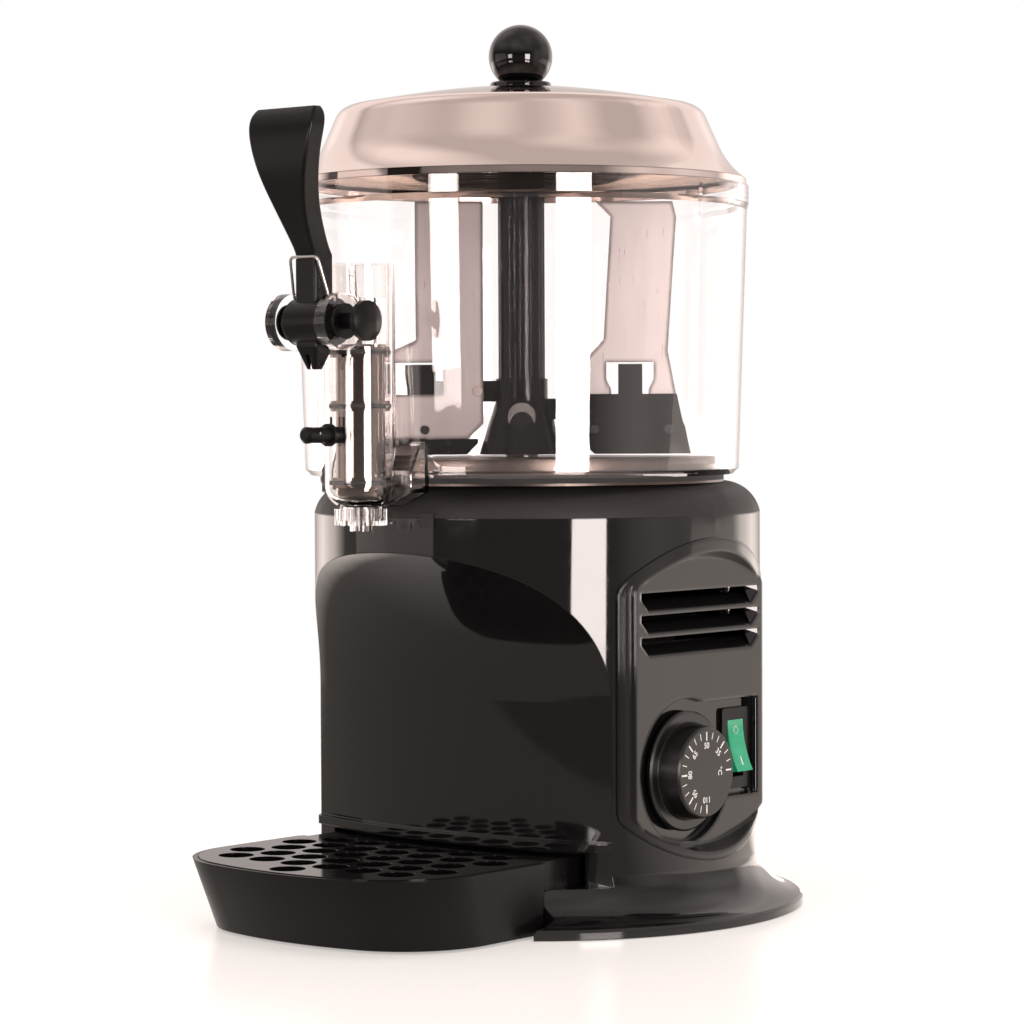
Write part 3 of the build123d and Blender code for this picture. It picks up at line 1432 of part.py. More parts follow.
# Piston: polished plunger with collars for its sealing rings
seal_zs = (seal_low_z, seal_mid_z, seal_high_z)
with BuildPart() as piston:
    with BuildSketch(tap_plane):
        with BuildLine():
            Polyline((0, tap_floor_z), (piston_foot_radius, tap_floor_z), (piston_radius, piston_foot_z),
                     (piston_radius, piston_top_z), (0, piston_top_z), close=True)
        make_face()
        for seal_z in seal_zs:
            with Locations((0, seal_z)):
                Rectangle(seal_collar_radius, seal_collar_height, align=(Align.MIN, Align.CENTER))
    revolve(axis=tap_axis)
    with BuildSketch(tap_plane):
        for seal_z in seal_zs:
            with Locations((seal_radius - seal_wire, seal_z)):
                Circle(seal_wire)
    revolve(axis=tap_axis, mode=Mode.SUBTRACT)
    with BuildSketch(Plane.XZ.offset(-tap_y)):
        with Locations((0, bar_z)):
            Circle(bar_radius)
    extrude(amount=2 * piston_radius, mode=Mode.SUBTRACT)
piston.part.label = "piston"
export_step(piston.part, "parts/piston.step")

# Piston seals: round rubber rings in the collars
with BuildPart() as piston_seals:
    with BuildSketch(tap_plane):
        for seal_z in seal_zs:
            with Locations((seal_radius - seal_wire, seal_z)):
                Circle(seal_wire)
    revolve(axis=tap_axis)
piston_seals.part.label = "piston_seals"
export_step(piston_seals.part, "parts/piston_seals.step")

# Tongue bar: black bar from the piston to the front, with a collar and a slot for the link wire
bar_profile = Plane(origin=(0, 0, bar_z), x_dir=(1, 0, 0), z_dir=(0, 0, 1))
bar_axis = Axis((0, 0, bar_z), (0, 1, 0))
with BuildPart() as tongue_bar:
    with BuildSketch(bar_profile):
        with BuildLine():
            Polyline((0, bar_front_y), (0, tap_y), (bar_radius, tap_y), (bar_radius, bar_flange_y),
                     (bar_flange_radius, bar_flange_y), (bar_flange_radius, bar_flange_y - bar_flange),
                     (bar_radius, bar_flange_y - bar_flange), (bar_radius, bar_front_y + bar_round),
                     (bar_radius - bar_round, bar_front_y), close=True)
        make_face()
    revolve(axis=bar_axis)
    with BuildSketch(Plane.XY.offset(bar_z - 2 * bar_radius)):
        with Locations((0, pivot_y)):
            Rectangle(link_slot, bar_slot_length)
    extrude(amount=4 * bar_radius, mode=Mode.SUBTRACT)
    with BuildSketch(Plane.YZ):
        with Locations((pivot_y, bar_pin_z)):
            Circle(link_pin_radius)
    extrude(amount=bar_radius, both=True, mode=Mode.SUBTRACT)
tongue_bar.part.label = "tongue_bar"
export_step(tongue_bar.part, "parts/tongue_bar.step")

# Tongue pin: cross pin in the bar that the link wire lifts
with BuildPart() as tongue_pin:
    with BuildSketch(Plane.YZ):
        with Locations((pivot_y, bar_pin_z)):
            Circle(link_pin_radius)
    extrude(amount=bar_radius - play, both=True)
tongue_pin.part.label = "tongue_pin"
export_step(tongue_pin.part, "parts/tongue_pin.step")

# Link wire: long closed loop that hangs on the tail pin and lifts the tongue pin
loop_inner = link_half_gap - link_wire_radius
loop_top_z = tail_pin_z + link_pin_radius + slip - loop_inner
loop_low_z = bar_pin_z - link_pin_radius - slip + loop_inner
with BuildPart() as link_wire:
    with BuildSketch(Plane.XY.offset(loop_low_z)):
        with Locations((0, pivot_y - link_half_gap), (0, pivot_y + link_half_gap)):
            Circle(link_wire_radius)
    extrude(amount=loop_top_z - loop_low_z)
    for end_z, way in ((loop_top_z, 1), (loop_low_z, -1)):
        with BuildSketch(Plane.XY.offset(end_z)):
            with Locations((0, pivot_y + link_half_gap)):
                Circle(link_wire_radius)
        revolve(axis=Axis((0, pivot_y, end_z), (way, 0, 0)), revolution_arc=180)
link_wire.part.label = "link_wire"
export_step(link_wire.part, "parts/link_wire.step")

# Lid: polished sheet cover
lid_outside = lid_space(0)
lid_inside = lid_space(lid_sheet)
with BuildPart() as lid:
    add(lid_outside)
    add(lid_inside, mode=Mode.SUBTRACT)
    with BuildSketch(Plane.XY.offset(lid_top_z - 2 * lid_sheet)):
        with Locations((0, bowl_y)):
            Circle(lid_screw_radius + slip)
    extrude(amount=3 * lid_sheet, mode=Mode.SUBTRACT)
lid.part.label = "lid"
export_step(lid.part, "parts/lid.step")

# Knob flange: thin disc between lid and ball
with BuildPart() as knob_flange:
    with BuildSketch(Plane.XY.offset(lid_top_z)):
        with Locations((0, bowl_y)):
            Circle(knob_flange_radius)
            Circle(lid_screw_radius + slip, mode=Mode.SUBTRACT)
    extrude(amount=knob_flange_top_z - lid_top_z)
    chamfer(knob_flange.edges().group_by(Axis.Z)[-1].sort_by(SortBy.LENGTH)[-1], knob_flange_edge)
knob_flange.part.label = "knob_flange"
export_step(knob_flange.part, "parts/knob_flange.step")

# Lid knob: ball with a flat seat and a threaded hole
with BuildPart() as lid_knob:
    with Locations((0, bowl_y, knob_centre_z)):
        Sphere(knob_radius)
    with BuildSketch(Plane.XY.offset(knob_flange_top_z)):
        with Locations((0, bowl_y)):
            Circle(2 * knob_radius)
    extrude(amount=-2 * knob_radius, mode=Mode.SUBTRACT)
    with BuildSketch(Plane.XY.offset(knob_flange_top_z)):
        with Locations((0, bowl_y)):
            Circle(lid_screw_radius)
    extrude(amount=lid_screw_top_z - knob_flange_top_z, mode=Mode.SUBTRACT)
lid_knob.part.label = "lid_knob"
export_step(lid_knob.part, "parts/lid_knob.step")

# Lid screw: round-headed screw from under the lid into the knob
with BuildPart() as lid_screw:
    with BuildSketch(Plane.XY.offset(lid_top_z - lid_sheet)):
        with Locations((0, bowl_y)):
            Circle(lid_screw_head_radius)
    extrude(amount=-lid_screw_head)
    with BuildSketch(Plane.XY.offset(lid_top_z - lid_sheet)):
        with Locations((0, bowl_y)):
            Circle(lid_screw_radius)
    extrude(amount=lid_screw_top_z - lid_top_z + lid_sheet)
lid_screw.part.label = "lid_screw"
export_step(lid_screw.part, "parts/lid_screw.step")

# Drive shaft: round bar from the gearbox through the standpipe to the column's cap
with BuildPart() as drive_shaft:
    with BuildSketch(Plane.XY.offset(shaft_low_z)):
        with Locations((0, bowl_y)):
            Circle(shaft_radius)
    extrude(amount=shaft_top_z - shaft_low_z)
drive_shaft.part.label = "drive_shaft"
export_step(drive_shaft.part, "parts/drive_shaft.step")

# Stirrer column: fluted tube over the standpipe, closed by a cap on the shaft
with BuildPart() as stirrer_column:
    with BuildSketch(Plane.XY.offset(hub_neck_z)):
        with Locations((0, bowl_y)):
            Circle(column_radius)
    extrude(amount=column_top_z - hub_neck_z)
    with BuildSketch(Plane.XY.offset(hub_top_z)):
        with Locations((0, bowl_y)):
            with PolarLocations(column_radius + flute_radius / 3, flute_count):
                Circle(flute_radius)
    extrude(amount=column_top_z - hub_top_z, mode=Mode.SUBTRACT)
    with BuildSketch(Plane.XY.offset(hub_neck_z)):
        with Locations((0, bowl_y)):
            Circle(column_bore)
    extrude(amount=column_cap_z - hub_neck_z, mode=Mode.SUBTRACT)
    with BuildSketch(Plane.XY.offset(column_cap_z)):
        with Locations((0, bowl_y)):
            Circle(shaft_radius)
    extrude(amount=shaft_top_z - column_cap_z, mode=Mode.SUBTRACT)
stirrer_column.part.label = "stirrer_column"
export_step(stirrer_column.part, "parts/stirrer_column.step")

# Stirrer hub: hollow bell with a collar round the column and one arm to each foot
bell_space = turned(
    bowl_plane, bowl_axis, (0, hub_base_z), (hub_base_radius - hub_wall, hub_base_z),
    (column_bore, hub_neck_z - hub_wall), (column_bore, hub_neck_z), (column_radius, hub_neck_z),
    (column_radius, hub_top_z), (0, hub_top_z))
arm_rivet = (inner_edge - arm_half_thick, inner_arm_z + arm_height / 2)
with BuildPart() as stirrer_hub:
    with BuildSketch(bowl_plane):
        with BuildLine():
            Polyline((0, hub_base_z), (hub_base_radius, hub_base_z), (hub_neck_radius, hub_neck_z),
                     (hub_neck_radius, hub_top_z), (0, hub_top_z), close=True)
        make_face()
    revolve(axis=bowl_axis)
    with BuildSketch(stir_plane):
        with Locations((0, inner_arm_z)):
            Rectangle(-inner_foot_step, arm_height, align=(Align.MAX, Align.MIN))
        with Locations((0, outer_arm_z)):
            Rectangle(outer_foot_in, arm_height, align=(Align.MIN, Align.MIN))
        with Locations(arm_rivet):
            Circle(rivet_radius, mode=Mode.SUBTRACT)
    extrude(amount=arm_half_thick, both=True)
    add(bell_space, mode=Mode.SUBTRACT)
    with BuildSketch(stir_plane):
        with Locations((0, window_z)):
            Circle(window_half_width)
    extrude(amount=2 * hub_base_radius, mode=Mode.SUBTRACT)
stirrer_hub.part.label = "stirrer_hub"
export_step(stirrer_hub.part, "parts/stirrer_hub.step")

# Stirrer feet: black wedges under the blades, each with an upright tongue
rivet_z = blade_low_z + 2 * rivet_head_radius
inner_rivets = [(inner_foot_step - 2 * arm_half_thick, rivet_z), (inner_flare + 2 * arm_half_thick, rivet_z)]
outer_rivets = [(outer_foot_in + 2 * arm_half_thick, rivet_z), (outer_edge_low, rivet_z)]
outer_tongue_low = outer_tongue - tongue_width / 2
outer_tongue_high = outer_tongue + tongue_width / 2
inner_tongue_low = inner_tongue - tongue_width / 2
with BuildPart() as foot_outer:
    with BuildSketch(stir_plane):
        with BuildLine():
            Polyline(
                (outer_foot_in + foot_corner, foot_low_z), (outer_foot_out, foot_low_z),
                (outer_foot_shoulder, foot_top_z), (outer_tongue_high, foot_top_z),
                (outer_tongue_high, tongue_top_z), (outer_tongue_low, tongue_top_z),
                (outer_tongue_low, foot_top_z), (outer_foot_in, foot_top_z),
                (outer_foot_in, foot_low_z + foot_corner), close=True)
        make_face()
        with Locations(*outer_rivets):
            Circle(rivet_radius, mode=Mode.SUBTRACT)
    extrude(amount=arm_half_thick, both=True)
foot_outer.part.label = "foot_outer"
export_step(foot_outer.part, "parts/foot_outer.step")

with BuildPart() as foot_inner:
    with BuildSketch(stir_plane):
        with BuildLine():
            Polyline(
                (inner_foot_in - foot_corner, foot_low_z), (inner_foot_in, foot_low_z + foot_corner),
                (inner_foot_in, blade_low_z), (inner_foot_step, blade_low_z), (inner_foot_step, tongue_top_z),
                (inner_tongue_low, tongue_top_z), (inner_tongue_low, foot_top_z),
                (inner_foot_shoulder, foot_top_z), (inner_foot_out, foot_low_z), close=True)
        make_face()
        with Locations(*inner_rivets):
            Circle(rivet_radius, mode=Mode.SUBTRACT)
    extrude(amount=arm_half_thick, both=True)
foot_inner.part.label = "foot_inner"
export_step(foot_inner.part, "parts/foot_inner.step")

# Stirrer blades: stainless sheets, one behind its foot and one in front of it
notch_low = outer_tongue_low - notch_gap
notch_high = outer_tongue_high + notch_gap
with BuildPart() as outer_notch:
    with BuildSketch(stir_plane.offset(-arm_half_thick - blade_sheet)):
        with BuildLine():
            Polyline(
                (notch_low, notch_low_z), (notch_low, foot_top_z + notch_bulge),
                (notch_low - notch_bulge, foot_top_z + 3 * notch_bulge),
                (notch_low - notch_bulge, notch_top_z), (notch_high + notch_bulge, notch_top_z),
                (notch_high + notch_bulge, foot_top_z + 3 * notch_bulge),
                (notch_high, foot_top_z + notch_bulge), (notch_high, notch_low_z), close=True)
        make_face()
    extrude(amount=blade_sheet)
with BuildPart() as blade_outer:
    with BuildSketch(stir_plane.offset(-arm_half_thick - blade_sheet)):
        with BuildLine():
            Polyline(
                (outer_neck_high - blade_corner, blade_top_z), (outer_neck_high, blade_top_z - blade_corner),
                (outer_neck_low, neck_end_z), (outer_foot_in, neck_flare_z), (outer_foot_in, blade_low_z),
                (outer_foot_out - rivet_head_radius, blade_low_z), (outer_edge_low, neck_end_z - foot_corner),
                (outer_edge_high, blade_top_z - blade_corner),
                (outer_edge_high - blade_corner / 4, blade_top_z), close=True)
        make_face()
        with Locations(*outer_rivets):
            Circle(rivet_radius, mode=Mode.SUBTRACT)
    extrude(amount=blade_sheet)
    add(outer_notch.part, mode=Mode.SUBTRACT)
blade_outer.part.label = "blade_outer"
export_step(blade_outer.part, "parts/blade_outer.step")

with BuildPart() as blade_inner:
    with BuildSketch(stir_plane.offset(arm_half_thick)):
        with BuildLine():
            Polyline(
                (inner_edge, blade_top_z), (inner_neck, blade_top_z), (inner_neck, neck_end_z),
                (inner_flare, neck_flare_z), (inner_flare, blade_low_z),
                (inner_edge - blade_corner, blade_low_z), (inner_edge, blade_low_z + blade_corner),
                close=True)
        make_face()
        with Locations(arm_rivet, *inner_rivets):
            Circle(rivet_radius, mode=Mode.SUBTRACT)
        with Locations((inner_tongue, foot_top_z)):
            Rectangle(tongue_width + 2 * (notch_gap + notch_bulge), notch_top_z - foot_top_z,
                      align=(Align.CENTER, Align.MIN), mode=Mode.SUBTRACT)
    extrude(amount=blade_sheet)
blade_inner.part.label = "blade_inner"
export_step(blade_inner.part, "parts/blade_inner.step")

# Blade rivets: headed pins through blades, feet and the inner arm
with BuildPart() as blade_rivets:
    for points, low, high in (
        ([arm_rivet, *inner_rivets], -arm_half_thick, arm_half_thick + blade_sheet),
        (outer_rivets, -arm_half_thick - blade_sheet, arm_half_thick),
    ):
        with BuildSketch(stir_plane.offset(low)):
            with Locations(*points):
                Circle(rivet_radius)
        extrude(amount=high - low)
        with BuildSketch(stir_plane.offset(low)):
            with Locations(*points):
                Circle(rivet_head_radius)
        extrude(amount=-rivet_head)
        with BuildSketch(stir_plane.offset(high)):
            with Locations(*points):
                Circle(rivet_head_radius)
        extrude(amount=rivet_head)
blade_rivets.part.label = "blade_rivets"
export_step(blade_rivets.part, "parts/blade_rivets.step")

# Drip tray: drafted tub in front of the body with a shallow tail that slides under the front wall
seat_z = tray_rim_z + grid_proud - grid_thick
tray_outside = tray_prism(0, tray_foot_z, tray_rim_z, True, tray_back_y)
tray_seat = tray_prism(tray_wall, seat_z, tray_rim_z, False, tray_back_y)
tray_basin = tray_prism(
    tray_wall + grid_ledge, tray_foot_z + tray_floor, seat_z, True, tray_back_y - tray_wall)
with BuildPart() as drip_tray:
    add(tray_outside)
    with BuildSketch(Plane.XY.offset(shelf_z)):
        with Locations((0, tray_back_y)):
            Rectangle(2 * deck_half_width, deck_back_y - tray_back_y, align=(Align.CENTER, Align.MIN))
    extrude(amount=tray_rim_z - shelf_z)
    add(tray_seat, mode=Mode.SUBTRACT)
    add(tray_basin, mode=Mode.SUBTRACT)
    with BuildSketch(Plane.XY.offset(shelf_z + tray_floor)):
        with Locations((0, tray_back_y - 2 * tray_wall)):
            Rectangle(2 * (deck_half_width - tray_wall), deck_back_y - tray_back_y + tray_wall,
                      align=(Align.CENTER, Align.MIN))
    extrude(amount=seat_z - shelf_z - tray_floor, mode=Mode.SUBTRACT)
    with BuildSketch(Plane.XY.offset(seat_z)):
        with Locations((0, tray_back_y)):
            Rectangle(2 * (deck_half_width - tray_wall), grid_back_y - tray_back_y,
                      align=(Align.CENTER, Align.MIN))
    extrude(amount=tray_rim_z - seat_z, mode=Mode.SUBTRACT)
drip_tray.part.label = "drip_tray"
export_step(drip_tray.part, "parts/drip_tray.step")

# Drip grid: perforated plate on the tray's ledge, with staggered round holes
grid_main = tray_prism(tray_wall + play, seat_z, seat_z + grid_thick, False, tray_back_y)
row_pitch = hole_pitch * sqrt(3) / 2
row_count = int((tray_back_y - tray_front_y - first_row_inset) / row_pitch) + 1
hole_area = tray_plan(tray_wall + hole_margin + hole_radius, 0.0, 0.0, tray_back_y, 0.0).face()
hole_points = []
for row in range(row_count):
    y = tray_front_y + first_row_inset + row * row_pitch
    columns = int(tray_half / hole_pitch) + 1
    for column in range(-columns, columns + 1):
        x = (column + row % 2 / 2) * hole_pitch
        if hole_area.is_inside((x, y, 0.0)):
            hole_points.append((x, y))
with BuildPart() as drip_grid:
    add(grid_main)
    with BuildSketch(Plane.XY.offset(seat_z)):
        with Locations((0, tray_back_y)):
            Rectangle(2 * (deck_half_width - tray_wall - play), grid_back_y - tray_back_y - play,
                      align=(Align.CENTER, Align.MIN))
    extrude(amount=grid_thick)
    with BuildSketch(Plane.XY.offset(seat_z)):
        with Locations(*hole_points):
            Circle(hole_radius)
    extrude(amount=grid_thick, mode=Mode.SUBTRACT)
drip_grid.part.label = "drip_grid"
export_step(drip_grid.part, "parts/drip_grid.step")
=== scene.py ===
# %% [markdown]
# # A table-top hot drinks dispenser
# The real thing is a round, gloss black heater base with a clear bowl on top. A stirrer turns in the bowl,
# a polished lid closes it, and a lever tap at the front fills a cup that stands on a drip tray. The solid
# model comes from CAD in metres, so this lesson is about looks: finishes, light, printed marks and the
# small details that CAD leaves out.

# %% Load the solid model
import math

import bmesh
import bpy
from mathutils import Matrix, Vector


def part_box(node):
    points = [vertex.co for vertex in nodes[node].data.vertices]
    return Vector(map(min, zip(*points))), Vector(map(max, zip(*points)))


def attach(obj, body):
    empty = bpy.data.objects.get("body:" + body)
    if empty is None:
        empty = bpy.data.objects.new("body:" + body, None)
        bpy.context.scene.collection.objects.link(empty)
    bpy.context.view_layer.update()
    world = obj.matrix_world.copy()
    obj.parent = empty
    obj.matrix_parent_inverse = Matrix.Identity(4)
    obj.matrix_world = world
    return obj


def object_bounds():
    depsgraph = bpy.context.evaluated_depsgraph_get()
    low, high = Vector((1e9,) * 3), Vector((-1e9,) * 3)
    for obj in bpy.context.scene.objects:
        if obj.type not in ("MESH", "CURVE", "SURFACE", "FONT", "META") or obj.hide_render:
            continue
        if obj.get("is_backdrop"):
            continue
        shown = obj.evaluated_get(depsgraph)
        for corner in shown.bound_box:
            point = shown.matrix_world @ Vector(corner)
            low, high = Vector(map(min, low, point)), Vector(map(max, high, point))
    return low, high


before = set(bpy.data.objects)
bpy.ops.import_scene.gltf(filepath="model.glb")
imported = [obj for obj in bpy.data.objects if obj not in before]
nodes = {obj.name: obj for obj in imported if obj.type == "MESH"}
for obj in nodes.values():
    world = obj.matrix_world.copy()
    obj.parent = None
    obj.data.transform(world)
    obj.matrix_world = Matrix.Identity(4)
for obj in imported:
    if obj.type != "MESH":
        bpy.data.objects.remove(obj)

MM = 0.001
scene = bpy.context.scene
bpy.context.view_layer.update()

# %% [markdown]
# ## The camera
# A camera could be placed by eye, but a straight line fit of a few points of the object gives the numbers:
# the lens is long, the eye is about 1.7 m away, just above half the object's height, and it looks down by
# less than two degrees. The small shift moves the picture sideways without turning the camera.

# %% Camera
view_azimuth, look_down, roll = 40.02, 1.875, -0.223
view_distance, eye_height = 1.7358, 0.26235
camera_data = bpy.data.cameras.new("product_camera")
camera_data.sensor_width = 36.0
camera_data.lens = 115.28
camera_data.shift_x = -0.02465
camera_data.clip_end = 50.0
camera = bpy.data.objects.new("product_camera", camera_data)
scene.collection.objects.link(camera)
turn = math.radians(view_azimuth)
stand = Vector((math.sin(turn), -math.cos(turn), 0)) * view_distance + Vector((0, 0, eye_height))
aim = Matrix.Rotation(turn, 4, "Z") @ Matrix.Rotation(math.radians(90 - look_down), 4, "X")
camera.matrix_world = Matrix.Translation(stand) @ aim @ Matrix.Rotation(math.radians(roll), 4, "Z")
scene.camera = camera
print("camera stands at", [round(v, 3) for v in stand])

# %% [markdown]
# ## Light and floor
# Gloss black has almost no colour of its own: what the eye sees is the studio. One tall softbox right of
# the camera makes the sharp white stripe on casing and bowl. A shorter one left of the camera hangs so high
# that only the bowl mirrors it, because the casing lies below eye level and mirrors the floor. A wide
# dimmer screen further left makes the broad grey band, and a large panel overhead only fills in from above.
# Lamps are given by the brightness of their face, because that is what gloss shows; the overhead one is
# kept out of reflections, so the lid mirrors no hard square.

# %% Colour helper and lamps
def linear(code):
    """Linear colour from an sRGB hex code."""
    parts = [int(code[i:i + 2], 16) / 255 for i in (1, 3, 5)]
    return (*[c / 12.92 if c <= 0.04045 else ((c + 0.055) / 1.055) ** 2.4 for c in parts], 1.0)


def softbox(name, width, height, brightness, tint):
    """Lamp with a face of one size, brightness and tint."""
    lamp = bpy.data.lights.new(name, "AREA")
    lamp.shape = "RECTANGLE"
    lamp.size = width
    lamp.size_y = height
    lamp.energy = brightness * math.pi * width * height
    lamp.color = linear(tint)[:3]
    thing = bpy.data.objects.new(name, lamp)
    scene.collection.objects.link(thing)
    return thing


lamp_distance = 2.0
for name, azimuth, low, high, width, brightness, tint in (
        ("stripe_softbox", 65.5, -0.02, 0.62, 0.6, 20.0, "#fff4f0"),
        ("bowl_softbox", 2.3, 0.18, 0.60, 0.5, 12.0, "#fff4f0"),
        ("wide_screen", -38.0, 0.085, 0.75, 1.9, 0.85, "#ffeee8")):
    upright = softbox(name, width, high - low, brightness, tint)
    way = math.radians(azimuth)
    upright.location = (lamp_distance * math.sin(way), -lamp_distance * math.cos(way), (low + high) / 2)
    upright.rotation_euler = (math.radians(90), 0, way)
top = softbox("top_panel", 1.8, 1.8, 1.6, "#fffaf7")
top.location = (0.2, -0.2, 2.2)
top.visible_glossy = False

# %% [markdown]
# The world is the white room. What is looked at directly gets plain white, and what is seen through clear
# plastic a bit more than that, as a backdrop is over-lit so that clear walls don't turn grey. For
# mirror-like reflections the side behind the camera is a dim open room, darkest above eye level, because a
# gloss black casing in an all-white room would look grey. The room brightens to the right, overhead and
# most of all on both sides of the backdrop, but less straight behind the object, so that the casing is
# black from the back too. The tests are fixed directions in the room, and the ray's history (how often it
# was mirrored, scattered or refracted) picks the level. A slow cloud stands for uneven walls.
#
# One small function adds a node. An input is a number, a colour, a chosen output, or just another node,
# whose first usable output is then linked. A Mix node has sockets for each type of data: 2 and 3 are
# numbers, 6 and 7 colours.

# %% Node helper and world
def fill(tree, node, inputs):
    """Gives sockets of a node their values, or links from an output or from the first output of a node."""
    for socket, value in inputs.items():
        if isinstance(value, bpy.types.Node):
            value = next(output for output in value.outputs if output.enabled)
        if isinstance(value, bpy.types.NodeSocket):
            tree.links.new(value, node.inputs[socket])
        else:
            node.inputs[socket].default_value = value


def add(tree, kind, inputs=None, **settings):
    """Adds one shader node with its settings, values and links."""
    made = tree.nodes.new("ShaderNode" + kind)
    for key, value in settings.items():
        setattr(made, key, value)
    fill(tree, made, inputs or {})
    return made


room = bpy.data.worlds.new("white_room")
scene.world = room
room.use_nodes = True
tree = room.node_tree
tree.nodes.clear()
to_rear, to_right = (-math.sin(turn), math.cos(turn), 0.0), (math.cos(turn), math.sin(turn), 0.0)
ray = add(tree, "LightPath")
look = add(tree, "TexCoord").outputs["Generated"]
height = add(tree, "SeparateXYZ", {0: look}).outputs["Z"]
away = add(tree, "VectorMath", {0: look, 1: to_rear}, operation="DOT_PRODUCT")
beside = add(tree, "VectorMath", {0: look, 1: to_right}, operation="DOT_PRODUCT")
uneven = add(tree, "TexNoise", {"Vector": look, "Scale": 1.6, "Detail": 0.5})
wall = add(tree, "MapRange", {"Value": uneven, "From Min": 0.35, "From Max": 0.65,
                              "To Min": 0.62, "To Max": 1.12})
dim = add(tree, "MapRange", {"Value": height, "From Min": -0.02, "From Max": 0.02,
                             "To Min": 0.2, "To Max": 0.1})
right = add(tree, "MapRange", {"Value": beside, "From Min": 0.6, "From Max": 0.95})
above = add(tree, "MapRange", {"Value": height, "From Min": 0.15, "From Max": 0.6})
open_side = add(tree, "Math", {0: right, 1: above}, operation="MAXIMUM")
sides = add(tree, "MapRange", {"Value": open_side, "To Min": dim, "To Max": wall})
glow = add(tree, "MapRange", {"Value": height, "From Min": 0.1, "From Max": 0.34,
                              "To Min": 1.7, "To Max": 1.08})
backdrop = add(tree, "MapRange", {"Value": away, "From Min": 0.38, "From Max": 0.62,
                                  "To Min": 0.0, "To Max": glow})
behind = add(tree, "MapRange", {"Value": away, "From Min": 0.85, "From Max": 0.97,
                                "To Min": 1.0, "To Max": 0.5})
rear = add(tree, "Math", {0: backdrop, 1: behind}, operation="MULTIPLY")
mirror = add(tree, "Math", {0: sides, 1: rear}, operation="MAXIMUM")
mirrored = add(tree, "Math", {0: ray.outputs["Glossy Depth"], 1: 0.5}, operation="GREATER_THAN")
scattered = add(tree, "Math", {0: ray.outputs["Diffuse Depth"], 1: 0.5}, operation="GREATER_THAN")
through = add(tree, "Math", {0: ray.outputs["Transmission Depth"], 1: 0.5}, operation="GREATER_THAN")
direct_level = add(tree, "MapRange", {"Value": through, "To Min": 1.0, "To Max": 1.3})
ambient_level = 0.55
seen = add(tree, "Mix", {0: mirrored, 2: direct_level, 3: mirror})
level = add(tree, "Mix", {0: scattered, 2: seen, 3: ambient_level})
tone = add(tree, "Mix", {0: mirrored, 6: linear("#ffffff"), 7: linear("#fff3ee")}, data_type="RGBA")
add(tree, "OutputWorld", {"Surface": add(tree, "Background", {"Color": tone, "Strength": level})})
print("world nodes:", len(tree.nodes))

# %% [markdown]
# The floor is a sheet of white acrylic, as on a product table: pale, a little shiny, short towards the
# camera and long behind the object. Around the object it is a lit surface, so the shadow stays. Further out
# it blends into plain white for rays that look at it, so that no horizon line shows between sheet and room.
# Mirrored in the gloss casing it is bright on the right, where the lamps stand, and on both sides of the
# backdrop, and dim elsewhere.

# %% Floor
def start_finish(name, colour, roughness, **sockets):
    """New material with one Principled surface: gives material, tree, surface node and object coordinates."""
    material = bpy.data.materials.new(name)
    material.use_nodes = True
    tree = material.node_tree
    tree.nodes.clear()
    inputs = {key.replace("_", " "): value for key, value in sockets.items()}
    surface = add(tree, "BsdfPrincipled", {"Base Color": linear(colour), "Roughness": roughness, **inputs})
    add(tree, "OutputMaterial", {"Surface": surface})
    return material, tree, surface, add(tree, "TexCoord").outputs["Object"]


white_acrylic, tree, surface, place = start_finish("white_acrylic_sheet", "#f6eee9", 0.22,
                                                   Emission_Color=linear("#fffaf6"))
ray = add(tree, "LightPath")
direct = add(tree, "Math", {0: ray.outputs["Diffuse Depth"], 1: 0.5}, operation="LESS_THAN")
mirrored = add(tree, "Math", {0: ray.outputs["Glossy Depth"], 1: 0.5}, operation="GREATER_THAN")
own_light = add(tree, "Math", {0: direct, 1: 0.38}, operation="MULTIPLY")
speck = add(tree, "TexNoise", {"Vector": place, "Scale": 1 / (4 * MM), "Detail": 3.0})
gloss = add(tree, "MapRange", {"Value": speck, "To Min": 0.18, "To Max": 0.26})
fill(tree, surface, {"Emission Strength": own_light, "Roughness": gloss})
reach = add(tree, "VectorMath", {0: place}, operation="LENGTH")
nearer = add(tree, "MapRange", {"Value": mirrored, "To Min": 1.0, "To Max": 4.0})
scaled = add(tree, "Math", {0: reach, 1: nearer}, operation="MULTIPLY")
fade = add(tree, "MapRange", {"Value": scaled, "From Min": 0.3, "From Max": 1.1},
           interpolation_type="SMOOTHSTEP")
white = add(tree, "Math", {0: fade, 1: direct}, operation="MULTIPLY")
spread = add(tree, "VectorMath", {0: place}, operation="NORMALIZE")
across, along = add(tree, "SeparateXYZ", {0: spread}).outputs[:2]
right = add(tree, "MapRange", {"Value": across, "From Min": 0.62, "From Max": 0.97,
                               "To Min": 0.4, "To Max": 1.7})
glow = add(tree, "MapRange", {"Value": along, "From Min": 0.40, "From Max": 0.60,
                              "To Min": 0.0, "To Max": 3.5})
behind = add(tree, "MapRange", {"Value": along, "From Min": 0.80, "From Max": 0.95,
                                "To Min": 1.0, "To Max": 0.22})
rear = add(tree, "Math", {0: glow, 1: behind}, operation="MULTIPLY")
lit = add(tree, "Math", {0: right, 1: rear}, operation="MAXIMUM")
level = add(tree, "Mix", {0: mirrored, 2: 1.0, 3: lit})
tone = add(tree, "Mix", {0: mirrored, 6: linear("#ffffff"), 7: linear("#fff1e8")}, data_type="RGBA")
plain = add(tree, "Emission", {"Color": tone, "Strength": level})
blend = add(tree, "MixShader", {0: white, 1: surface, 2: plain})
fill(tree, next(n for n in tree.nodes if n.type == "OUTPUT_MATERIAL"), {"Surface": blend})
near, far, side, drop = 0.55, 7.0, 6.0, 0.4 * MM
floor_mesh = bpy.data.meshes.new("studio_floor")
corners = [(-side, -near, 0), (side, -near, 0), (side, far, 0), (-side, far, 0)]
floor_mesh.from_pydata(corners, [], [(0, 1, 2, 3)])
